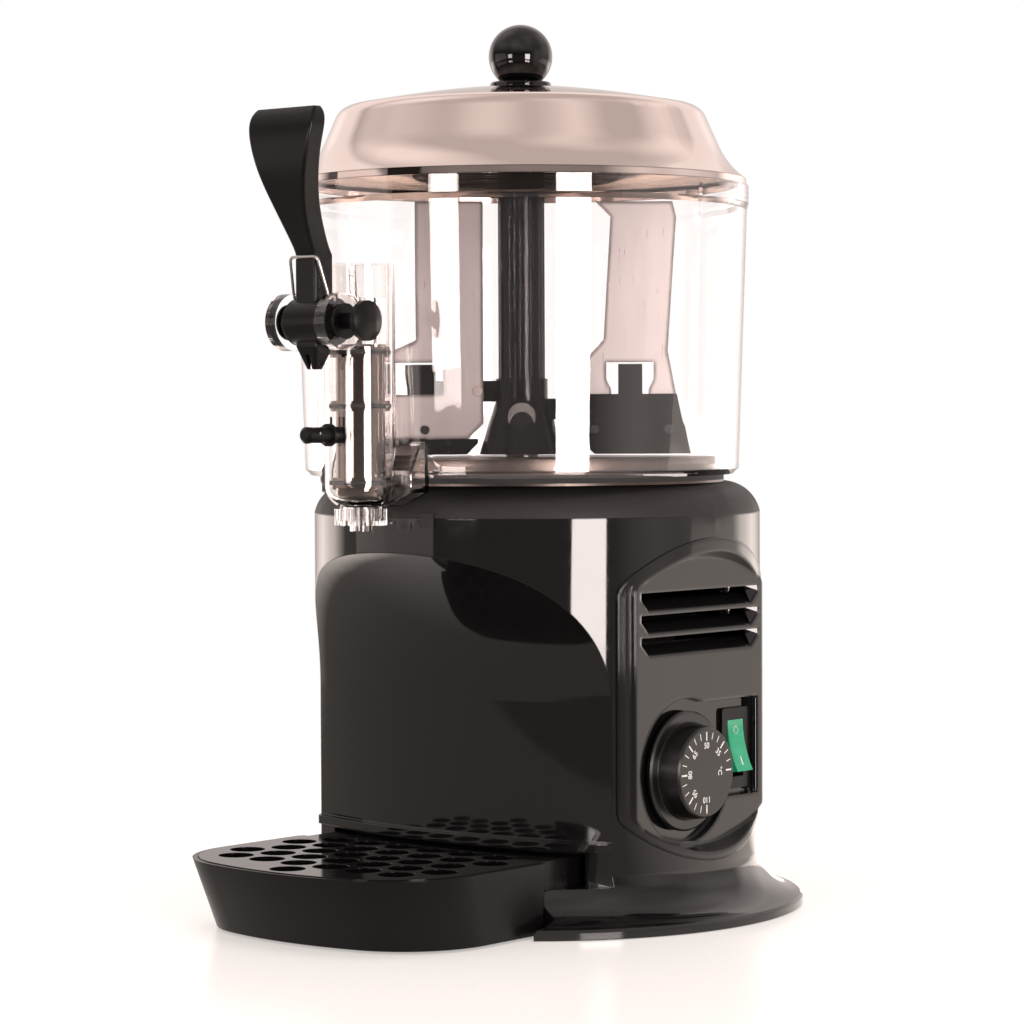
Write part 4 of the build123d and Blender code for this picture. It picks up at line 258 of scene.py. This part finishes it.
floor = bpy.data.objects.new("studio_floor", floor_mesh)
floor.location.z = -drop
floor.rotation_euler.z = turn
floor_mesh.materials.append(white_acrylic)
scene.collection.objects.link(floor)
floor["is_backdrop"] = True
scene.view_settings.view_transform = "Standard"
print("floor sheet", 2 * side, "by", near + far, "m")

# %% [markdown]
# ## Casing: moulded gloss ABS
# The casing and the panel are injection-moulded ABS from a mirror-polished tool. Up close such a wall isn't
# perfectly flat: it has a long, very shallow ripple and fine wiping marks. The ripple goes into the bump,
# and the wiping marks change the roughness a little, so reflections stay sharp but not computer-clean.
# Every moulded edge has a small radius; a Bevel node rounds it off in the shading alone.

# %% Gloss ABS
def dress(material, *names):
    """Gives CAD nodes a material."""
    for name in names:
        for slot in nodes[name].material_slots:
            slot.material = material
    print(material.name, "on", len(names), "nodes")


def gloss_plastic(name, edge_mm):
    """Mirror-moulded black ABS with edges of one radius."""
    material, tree, surface, place = start_finish(name, "#0d0c0c", 0.05, IOR=1.53)
    edge = add(tree, "Bevel", {"Radius": edge_mm * MM}, samples=4)
    ripple = add(tree, "TexNoise", {"Vector": place, "Scale": 1 / (28 * MM), "Detail": 1.0})
    relief = add(tree, "Bump", {"Height": ripple, "Strength": 0.03, "Distance": 0.4 * MM, "Normal": edge})
    wiping = add(tree, "TexNoise", {"Vector": place, "Scale": 1 / (9 * MM), "Detail": 6.0})
    haze = add(tree, "MapRange", {"Value": wiping, "From Min": 0.35, "From Max": 0.75,
                                  "To Min": 0.035, "To Max": 0.075})
    fill(tree, surface, {"Normal": relief, "Roughness": haze})
    return material


dress(gloss_plastic("gloss_black_abs", 0.9), "body_shell")
dress(gloss_plastic("gloss_black_abs_soft_edges", 2.6), "control_panel")

# %% [markdown]
# ## Grained and satin black plastics
# The shoulder ring has a leather-like spark-eroded grain that swallows light. The tray is a finer satin.
# Lever, stirrer and knobs are glass-filled nylon and acetal with a soft sheen. All are near-black, so the
# difference lies in the roughness and in the size of the grain: 0.6 mm on the ring, 0.3 mm on the tray,
# drawn about twice as coarse to show.

# %% Black plastics
def black_plastic(name, colour, smooth, rough, grain_mm, depth_mm, **sockets):
    """Moulded black plastic with an eroded grain of one size."""
    material, tree, surface, place = start_finish(name, colour, smooth, **sockets)
    edge = add(tree, "Bevel", {"Radius": 0.6 * MM}, samples=4)
    grain = add(tree, "TexNoise", {"Vector": place, "Scale": 1 / (grain_mm * MM), "Detail": 2.0,
                                   "Roughness": 0.6})
    relief = add(tree, "Bump", {"Height": grain, "Strength": 0.5, "Distance": depth_mm * MM, "Normal": edge})
    cloud = add(tree, "TexNoise", {"Vector": place, "Scale": 1 / (18 * MM), "Detail": 3.0})
    sheen = add(tree, "MapRange", {"Value": cloud, "From Min": 0.3, "From Max": 0.7,
                                   "To Min": smooth, "To Max": rough})
    fill(tree, surface, {"Normal": relief, "Roughness": sheen})
    return material


eroded_pp = black_plastic("eroded_grain_polypropylene", "#1a1716", 0.50, 0.62, 1.2, 0.30)
satin_abs = black_plastic("satin_black_abs", "#070606", 0.26, 0.34, 0.5, 0.02, Specular_IOR_Level=0.25)
tray_abs = black_plastic("moulded_tray_abs", "#090808", 0.20, 0.28, 0.6, 0.02, Specular_IOR_Level=0.25)
grid_abs = black_plastic("gloss_grid_abs", "#090808", 0.08, 0.13, 0.6, 0.005, Specular_IOR_Level=0.22)
knob_abs = black_plastic("moulded_knob_abs", "#0c0a0a", 0.22, 0.30, 0.5, 0.01)
acetal = black_plastic("polished_black_acetal", "#040404", 0.07, 0.11, 0.8, 0.005, Specular_IOR_Level=0.3)
nylon = black_plastic("moulded_black_nylon", "#040404", 0.12, 0.18, 0.8, 0.005, Specular_IOR_Level=0.18)
phenolic = black_plastic("polished_phenolic_ball", "#070606", 0.03, 0.05, 1.5, 0.004)
dress(eroded_pp, "collar_ring")
dress(tray_abs, "drip_tray")
dress(grid_abs, "drip_grid")
dress(knob_abs, "thermostat_knob")
dress(satin_abs, "tap_lever", "tongue_bar", "ear_bushes", "pin_knob", "lever_washers", "switch_body",
      "cable_gland")
dress(nylon, "stirrer_column", "stirrer_hub")
dress(acetal, "foot_inner", "foot_outer")
dress(phenolic, "lid_knob", "knob_flange")

# %% [markdown]
# ## Clear polycarbonate
# Bowl, tap tube and nozzle are moulded polycarbonate, which bends light more than glass (IOR 1.585) and
# carries a hint of grey. The walls are real solids, so refraction does the work. Shadows of clear walls are
# switched off, because a path tracer can't easily send lamp light through refracting walls, and the stirrer
# would stand in the dark.

# %% Polycarbonate
polycarbonate, tree, surface, place = start_finish("moulded_polycarbonate", "#fbf8f7", 0.015, IOR=1.585,
                                                   Transmission_Weight=1.0, Specular_IOR_Level=0.4)
flow = add(tree, "TexNoise", {"Vector": place, "Scale": 1 / (40 * MM), "Detail": 1.0})
relief = add(tree, "Bump", {"Height": flow, "Strength": 0.04, "Distance": 0.3 * MM})
fill(tree, surface, {"Normal": relief})
clear_nodes = ("bowl", "tap_housing", "nozzle_cap")
dress(polycarbonate, *clear_nodes)
for name in clear_nodes:
    nodes[name].visible_shadow = False

# %% [markdown]
# ## Steels
# The lid is spun and mirror polished: its polishing rings run round the axis, 0.6 mm apart, and only show
# as a faint shimmer. Its inside, whose faces point down, is painted darker: painted shade. The blades and
# the dish are brushed sheet, with lines along one direction, 0.5 mm apart, which is coarser than real ones,
# so that they show; the dish, standpipe and tank get a darker copy of that steel, which is painted shade.
# Their cut edges and the lid's edges get a dark line of painted shade: where a rounded normal leans away
# from the true one there is an edge, and there the colour changes. A metal keeps Blender's default IOR, and
# its colour is the colour of its reflection.

# %% Lid and sheet steel
def edge_mask(tree, width_mm):
    """1 beside an edge and 0 on open faces: how far the rounded normal leans from the true one."""
    edge = add(tree, "Bevel", {"Radius": width_mm * MM}, samples=4)
    true = add(tree, "NewGeometry").outputs["Normal"]
    lean = add(tree, "VectorMath", {0: edge, 1: true}, operation="DOT_PRODUCT")
    return add(tree, "MapRange", {"Value": lean, "From Min": 0.997, "From Max": 0.96})


bowl_y = -12.2 * MM
ring_pitch, rings_per_unit = 0.6 * MM, 20
lid_colour = "#e6d6d0"
spun_steel, tree, surface, place = start_finish("spun_polished_stainless", lid_colour, 0.07, Metallic=1.0)
centred = add(tree, "Mapping", {"Vector": place, "Location": (0.0, -bowl_y, 0.0)})
rings = add(tree, "TexWave", {"Vector": centred, "Scale": 1 / (rings_per_unit * ring_pitch),
                              "Distortion": 0.6, "Detail": 2.0}, wave_type="RINGS", rings_direction="Z")
shimmer = add(tree, "Bump", {"Height": rings.outputs["Fac"], "Strength": 0.03, "Distance": 0.02 * MM})
cloud = add(tree, "TexNoise", {"Vector": place, "Scale": 1 / (35 * MM), "Detail": 4.0})
polish = add(tree, "MapRange", {"Value": cloud, "From Min": 0.3, "From Max": 0.7,
                                "To Min": 0.03, "To Max": 0.08})
# Painted shade: faces of the lid that point down get a darker colour.
facing = add(tree, "SeparateXYZ", {0: add(tree, "NewGeometry").outputs["True Normal"]}).outputs["Z"]
downward_shade = add(tree, "MapRange", {"Value": facing, "From Min": -0.1, "From Max": -0.3})
faces = add(tree, "Mix", {0: downward_shade, 6: linear(lid_colour), 7: linear("#a8978e")}, data_type="RGBA")
# Painted shade: a dark line is painted along the lid's edges.
painted_edge_shade = add(tree, "Mix", {0: edge_mask(tree, 1.0), 6: faces, 7: linear("#3a2f2b")}, data_type="RGBA")
fill(tree, surface, {"Normal": shimmer, "Roughness": polish, "Base Color": painted_edge_shade})
dress(spun_steel, "lid")


def brushed_sheet(name, colour, edge_shade_colour):
    """Brushed stainless sheet with painted shade, a dark line, along its cut edges."""
    material, tree, surface, place = start_finish(name, colour, 0.3, Metallic=1.0)
    stretched = add(tree, "Mapping", {"Vector": place, "Scale": (1.0, 1.0, 0.03)})
    lines = add(tree, "TexNoise", {"Vector": stretched, "Scale": 1 / (0.5 * MM), "Detail": 3.0})
    relief = add(tree, "Bump", {"Height": lines, "Strength": 0.25, "Distance": 0.03 * MM})
    sheen = add(tree, "MapRange", {"Value": lines, "To Min": 0.22, "To Max": 0.42})
    # Painted shade: a dark line is painted along the cut edges.
    painted_edge_shade = add(tree, "Mix", {0: edge_mask(tree, 3.0), 6: linear(colour), 7: linear(edge_shade_colour)},
                  data_type="RGBA")
    fill(tree, surface, {"Normal": relief, "Roughness": sheen, "Base Color": painted_edge_shade})
    return material


# Painted shade: the dish's steel is a darker copy of the blades' steel, and each second colour is a dark line
# painted along cut edges.
shaded_sheet_steel = brushed_sheet("brushed_stainless_sheet_painted_shade", "#6f6560", "#3a322f")
blade_steel = brushed_sheet("brushed_stainless_blade", "#c0b7b6", "#241d1b")
dress(shaded_sheet_steel, "boiler_dish", "standpipe", "boiler_tank")
dress(blade_steel, "blade_inner", "blade_outer")

# %% [markdown]
# The tap's piston is polished steel painted darker, as painted shade for the dark reflections it shows, and
# wires and pins are bright drawn steel: both are one colour, with a polish that varies over a millimetre.
# The rivets come in two kinds. Those that hold a blade to the hub's arm are steel and hardly show on the
# blade, and those that hold a blade to its black foot are black acetal. They are one piece, so the height
# above the table tells them apart.

# %% Bar steel and rivets
def polished_bar(name, colour, roughness, grain_mm, detail, smooth, rough):
    """Bare steel whose polish varies with a fine grain."""
    material, tree, surface, place = start_finish(name, colour, roughness, Metallic=1.0)
    grain = add(tree, "TexNoise", {"Vector": place, "Scale": 1 / (grain_mm * MM), "Detail": detail})
    polish = add(tree, "MapRange", {"Value": grain, "To Min": smooth, "To Max": rough})
    fill(tree, surface, {"Roughness": polish})
    return material


# Painted shade: the piston's steel is darker than the drawn steel, for the dark reflections it shows.
piston_steel_painted_shade = polished_bar("polished_piston_steel", "#857a74", 0.05, 1.5, 2.0, 0.03, 0.09)
drawn_steel = polished_bar("bright_drawn_steel", "#cfcac6", 0.16, 0.8, 4.0, 0.1, 0.26)
dress(piston_steel_painted_shade, "piston")
dress(drawn_steel, "drive_shaft", "pivot_pin", "tail_pin", "tongue_pin", "link_wire", "lever_bail",
      "lid_screw", "base_screws", "thermostat_spindle", "bracket_posts")

steel_above = 260 * MM
rivets, tree, surface, place = start_finish("steel_and_acetal_rivets", "#8f837d", 0.3)
height = add(tree, "SeparateXYZ", {0: place}).outputs["Z"]
is_steel = add(tree, "Math", {0: height, 1: steel_above}, operation="GREATER_THAN")
colour = add(tree, "Mix", {0: is_steel, 6: linear("#080707"), 7: linear("#c8b7b1")}, data_type="RGBA")
grain = add(tree, "TexNoise", {"Vector": place, "Scale": 1 / (0.5 * MM), "Detail": 2.0})
sheen = add(tree, "MapRange", {"Value": grain, "To Min": 0.2, "To Max": 0.4})
edge = add(tree, "Bevel", {"Radius": 0.8 * MM}, samples=4)
fill(tree, surface, {"Base Color": colour, "Metallic": is_steel, "Roughness": sheen, "Normal": edge})
dress(rivets, "blade_rivets")

# %% [markdown]
# ## Pieces inside and below
# Rubber, zinc-coated sheet, die-cast aluminium, sintered bronze and a black motor can are hardly seen, but
# the vents, the underside and a lifted bowl show some of them, so each gets its own simple surface with a
# grain of its own.

# %% Hidden finishes
def cast_finish(name, colour, roughness, grain_mm, depth_mm, contrast, **sockets):
    """Surface with a mottled colour and a bump of one grain size."""
    material, tree, surface, place = start_finish(name, colour, roughness, **sockets)
    grain = add(tree, "TexNoise", {"Vector": place, "Scale": 1 / (grain_mm * MM), "Detail": 4.0})
    base = linear(colour)
    dark = (*[c * (1 - contrast) for c in base[:3]], 1.0)
    mottle = add(tree, "Mix", {0: grain, 6: dark, 7: base}, data_type="RGBA")
    relief = add(tree, "Bump", {"Height": grain, "Strength": 0.4, "Distance": depth_mm * MM})
    fill(tree, surface, {"Base Color": mottle, "Normal": relief})
    return material


rubber = cast_finish("moulded_black_rubber", "#1a1817", 0.7, 1.2, 0.05, 0.3)
zinc_sheet = cast_finish("zinc_coated_sheet", "#a9abad", 0.4, 9.0, 0.01, 0.25, Metallic=1.0)
cast_aluminium = cast_finish("die_cast_aluminium", "#b3b2b0", 0.5, 1.0, 0.06, 0.2, Metallic=1.0)
motor_enamel = cast_finish("enamelled_motor_can", "#2a2b2e", 0.35, 2.0, 0.02, 0.2)
sheath_steel = cast_finish("oxidised_steel_sheath", "#4a4643", 0.45, 1.5, 0.02, 0.4, Metallic=1.0)
bronze = cast_finish("sintered_bronze", "#a37a48", 0.4, 0.6, 0.02, 0.3, Metallic=1.0)
dress(rubber, "bowl_gasket", "piston_seals", "rubber_pads")
dress(zinc_sheet, "base_plate", "motor_bracket")
dress(cast_aluminium, "gearbox")
dress(motor_enamel, "stirrer_motor")
dress(sheath_steel, "heating_element", "thermostat_body")
dress(bronze, "shaft_bushes")

# %% [markdown]
# ## Switch key and print
# The key of the rocker switch is tinted, slightly see-through polycarbonate over a neon lamp. Unlit it is a
# deep, cool green that glows a little at its edges, so a small subsurface weight says more than a plain
# gloss paint would. The white print on key and knob is a thin ink that covers a little unevenly.

# %% Rocker green and ink
green_key, tree, surface, place = start_finish("tinted_green_polycarbonate", "#1c9a6c", 0.14, IOR=1.58,
                                               Subsurface_Weight=0.25, Subsurface_Scale=2 * MM)
cloud = add(tree, "TexNoise", {"Vector": place, "Scale": 1 / (5 * MM), "Detail": 2.0})
depth = add(tree, "Mix", {0: cloud, 6: linear("#158a60"), 7: linear("#2fb084")}, data_type="RGBA")
fill(tree, surface, {"Base Color": depth})
dress(green_key, "switch_rocker")
ink, tree, surface, place = start_finish("white_pad_print", "#e9e6e2", 0.45)
cover = add(tree, "TexNoise", {"Vector": place, "Scale": 1 / (0.6 * MM), "Detail": 3.0})
white = add(tree, "Mix", {0: cover, 6: linear("#d8d4cf"), 7: linear("#f4f1ee")}, data_type="RGBA")
fill(tree, surface, {"Base Color": white})

# %% [markdown]
# ## Printed dial
# The knob's face is pad printed in white: a mark every fifteen degrees, a heavier one every third, and
# temperatures beside the heavy ones, their tops to the rim. Thin raised slivers of mesh are the simplest
# way: they turn with the knob, keep crisp edges at any distance, and survive an export that drops textures.

# %% Dial print
def piece(name, work, material, body):
    """Object from a bmesh, dressed and riding on a body."""
    mesh = bpy.data.meshes.new(name)
    work.to_mesh(mesh)
    work.free()
    thing = bpy.data.objects.new(name, mesh)
    mesh.materials.append(material)
    scene.collection.objects.link(thing)
    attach(thing, body)
    print(name, len(mesh.polygons), "faces")


def add_block(work, size, place):
    """Box of a size, put in place by a matrix."""
    corners = bmesh.ops.create_cube(work, size=1.0)["verts"]
    bmesh.ops.transform(work, matrix=place @ Matrix.Diagonal((*size, 1.0)), verts=corners)


def letters(text, height, depth):
    """Mesh of some characters of a height and depth, centred on the XY plane."""
    curve = bpy.data.curves.new("characters", "FONT")
    curve.body = text
    curve.size = height
    curve.align_x = "CENTER"
    curve.align_y = "CENTER"
    curve.offset = 0.012 * height
    curve.extrude = depth / 2
    holder = bpy.data.objects.new("characters", curve)
    mesh = bpy.data.meshes.new_from_object(holder)
    bpy.data.objects.remove(holder)
    return mesh


print_depth, letter_height = 0.06 * MM, 4.3 * MM
mark_rim, number_radius, sign_radius = 20.6 * MM, 13.6 * MM, 11.0 * MM
heavy_mark, light_mark = (4.4 * MM, 0.85 * MM), (3.6 * MM, 0.45 * MM)
mark_count, mark_step, heavy_every = 19, 15, 3
dial_y, dial_z = -12.2 * MM, 76.5 * MM
dial_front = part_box("thermostat_knob")[1].x
# The dial plane: first axis to +Y, second up, third out of the face
dial_plane = Matrix(((0, 0, 1, dial_front), (1, 0, 0, dial_y), (0, 1, 0, dial_z), (0, 0, 0, 1)))


def on_dial(degrees, radius):
    """Matrix of a spot on the dial, its first axis to the rim, half way up the print."""
    spoke = Matrix.Rotation(math.radians(degrees), 4, "Z")
    return dial_plane @ spoke @ Matrix.Translation((radius, 0, print_depth / 2))


work = bmesh.new()
for mark in range(mark_count):
    length, width = light_mark if mark % heavy_every else heavy_mark
    add_block(work, (length, width, print_depth), on_dial(mark * mark_step, mark_rim - length / 2))
for step, text in enumerate(("°C", "35", "50", "65", "80", "95", "110")):
    mesh = letters(text, letter_height, print_depth)
    spot = on_dial(step * heavy_every * mark_step, number_radius if step else sign_radius)
    mesh.transform(spot @ Matrix.Rotation(math.radians(-90), 4, "Z"))
    work.from_mesh(mesh)
    bpy.data.meshes.remove(mesh)
piece("dial_print", work, ink, "dial")

# %% [markdown]
# ## Marks on the switch
# The key carries the two usual signs: a ring for off near its upper end and a bar for on near its lower
# end. They are filled with white paint. The key is hollowed along its length, so each sign sits at the
# depth of the hollow there, on a plane that leans with the key.

# %% Switch marks
key_lean = math.radians(14.0)
key_axis = Vector((103.0 * MM, 32.5 * MM, 84.5 * MM))
key_reach, key_hollow, key_half = 6.4 * MM, 1.6 * MM, 13.5 * MM
key_out = Vector((math.cos(key_lean), 0, math.sin(key_lean)))
key_up = Vector((-math.sin(key_lean), 0, math.cos(key_lean)))


def key_plane(height):
    """Matrix of a plane on the key's hollow face at a height along the key: +Y, along, outwards."""
    depth = key_reach - key_hollow * (1 - (height / key_half) ** 2)
    spot = key_axis + key_out * depth + key_up * height
    slope = 2 * key_hollow * height / key_half ** 2
    along = (key_up + key_out * slope).normalized()
    facing = Vector((0, 1, 0)).cross(along)
    return Matrix.Translation(spot) @ Matrix((Vector((0, 1, 0)), along, facing)).transposed().to_4x4()


off_height, on_height, mark_lift = 8.2 * MM, -8.0 * MM, 0.05 * MM
ring_in, ring_out, ring_steps = 1.5 * MM, 2.15 * MM, 40
bar_width, bar_length = 0.8 * MM, 4.4 * MM
work = bmesh.new()
turns = [2 * math.pi * i / ring_steps for i in range(ring_steps)]
inner, outer = ([work.verts.new((radius * math.cos(t), radius * math.sin(t), mark_lift)) for t in turns]
                for radius in (ring_in, ring_out))
for i in range(ring_steps):
    j = (i + 1) % ring_steps
    work.faces.new((inner[i], outer[i], outer[j], inner[j]))
bmesh.ops.solidify(work, geom=work.faces[:], thickness=print_depth)
bmesh.ops.transform(work, matrix=key_plane(off_height), verts=work.verts[:])
add_block(work, (bar_width, bar_length, 2 * mark_lift), key_plane(on_height))
piece("switch_marks", work, ink, "rocker")

# %% [markdown]
# ## Window in the stirrer's hub
# The bell of the hub has a round window. In it the eye sees a pale crescent, the rim of a drive key, above a
# dark dome of shade in the bell. Two flat plates just inside the window are enough: a steel one for the
# crescent, and a black one that is painted shade for the dome. An arc above, an arc below and the window's
# circle bound both, and their plane faces the way the blades do.

# %% Hub window
window_turn, window_z = math.radians(40.0), 256.5 * MM
window_depth, plate_thickness = 13.0 * MM, 0.8 * MM
hub_plane = (Matrix.Translation((0, bowl_y, window_z)) @ Matrix.Rotation(window_turn, 4, "Z")
             @ Matrix.Rotation(math.radians(90), 4, "X") @ Matrix.Translation((0, 0, window_depth)))
window, dome, dome_drop, arc_steps = 7.3 * MM, 6.2 * MM, 3.6 * MM, 24
meet_z = (window ** 2 - dome ** 2 + dome_drop ** 2) / (-2 * dome_drop)
outer_start = math.asin(meet_z / window)
inner_start = math.asin((meet_z + dome_drop) / dome)


def arc(radius, drop, start, stop):
    """Points of an arc in the window's plane, from one angle to another."""
    turns = [start + (stop - start) * i / arc_steps for i in range(arc_steps + 1)]
    return [(radius * math.cos(t), radius * math.sin(t) - drop, 0) for t in turns]


upper = arc(window, 0, outer_start, math.pi - outer_start)
middle = arc(dome, dome_drop, inner_start, math.pi - inner_start)
lower = arc(window, 0, math.pi - outer_start, 2 * math.pi + outer_start)
for name, ring, material, slot in (
        ("hub_key_rim", upper + middle[-2:0:-1], drawn_steel, "brushed_stainless"),
        # Painted shade: the black plate stands in for the shade inside the bell.
        ("hub_window_painted_shade", lower + middle[1:-1], satin_abs, "satin_black_plastic")):
    work = bmesh.new()
    face = work.faces.new([work.verts.new(p) for p in ring])
    grown = bmesh.ops.extrude_face_region(work, geom=[face])["geom"]
    back = [v for v in grown if isinstance(v, bmesh.types.BMVert)]
    bmesh.ops.translate(work, vec=(0, 0, -plate_thickness), verts=back)
    bmesh.ops.recalc_face_normals(work, faces=work.faces[:])
    bmesh.ops.triangulate(work, faces=work.faces[:])
    bmesh.ops.transform(work, matrix=hub_plane, verts=work.verts[:])
    piece(name, work, material, "stirrer")

# %% [markdown]
# ## Cheeks in the vents and a bead in the recess
# The far end of each vent slot closes with a cheek of two facets, and a slim upright bead runs along the
# far edge of the switch recess. They are only a few millimetres across, but they light up: the upper facet
# of a cheek faces half way between camera and tall softbox, as the mirror rule asks, and the bead leans to
# the bright backdrop. A hull around a few points is the quickest way. Their ABS has crisp edges, as a wide
# rounding would blur such small facets.

# %% Cheeks and bead
def facet_run(azimuth):
    """Level direction along a facet whose normal points to an azimuth."""
    way = math.radians(azimuth)
    return Vector((math.cos(way), math.sin(way), 0))


def add_hull(work, points):
    """Closed hull around some points."""
    bmesh.ops.convex_hull(work, input=[work.verts.new(p) for p in points])


crisp_abs = gloss_plastic("gloss_black_abs_crisp_edges", 0.12)
panel_x, slot_end, slot_top, slot_pitch, slot_count = 108.2 * MM, 48.8 * MM, 168.1 * MM, 11.25 * MM, 3
cheek_turn, cheek_length, cheek_height = 50.5, 7.5 * MM, 2.6 * MM
cheek_foot = Vector((0.6 * MM, 5.6 * MM, 8.7 * MM))
work = bmesh.new()
for row in range(slot_count):
    tip = Vector((panel_x, slot_end, slot_top - row * slot_pitch))
    brink = tip - Vector((0, 0, cheek_height))
    inner = tip - facet_run(cheek_turn) * cheek_length
    behind = Vector((inner.x, slot_end, tip.z))
    add_hull(work, (tip, brink, inner, behind))
    add_hull(work, (brink, inner, tip - cheek_foot, behind))
piece("vent_cheeks", work, crisp_abs, "chassis")

bead_turn, bead_width, bead_depth, bead_proud = 106, 2.3 * MM, 1.6 * MM, 0.4 * MM
bead_y, bead_low, bead_high = 46.4 * MM, 61.5 * MM, 109.5 * MM
crest = Vector((panel_x + bead_proud, bead_y, bead_low))
back = crest + facet_run(bead_turn) * bead_width
ring = (crest, back, Vector((crest.x - bead_depth, back.y, bead_low)))
rise = Vector((0, 0, bead_high - bead_low))
work = bmesh.new()
add_hull(work, [p + step for p in ring for step in (Vector(), rise)])
piece("recess_bead", work, crisp_abs, "chassis")

# %% Finish
low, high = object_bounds()
print("visual box in mm:", [round((b - a) / MM, 1) for a, b in zip(low, high)])
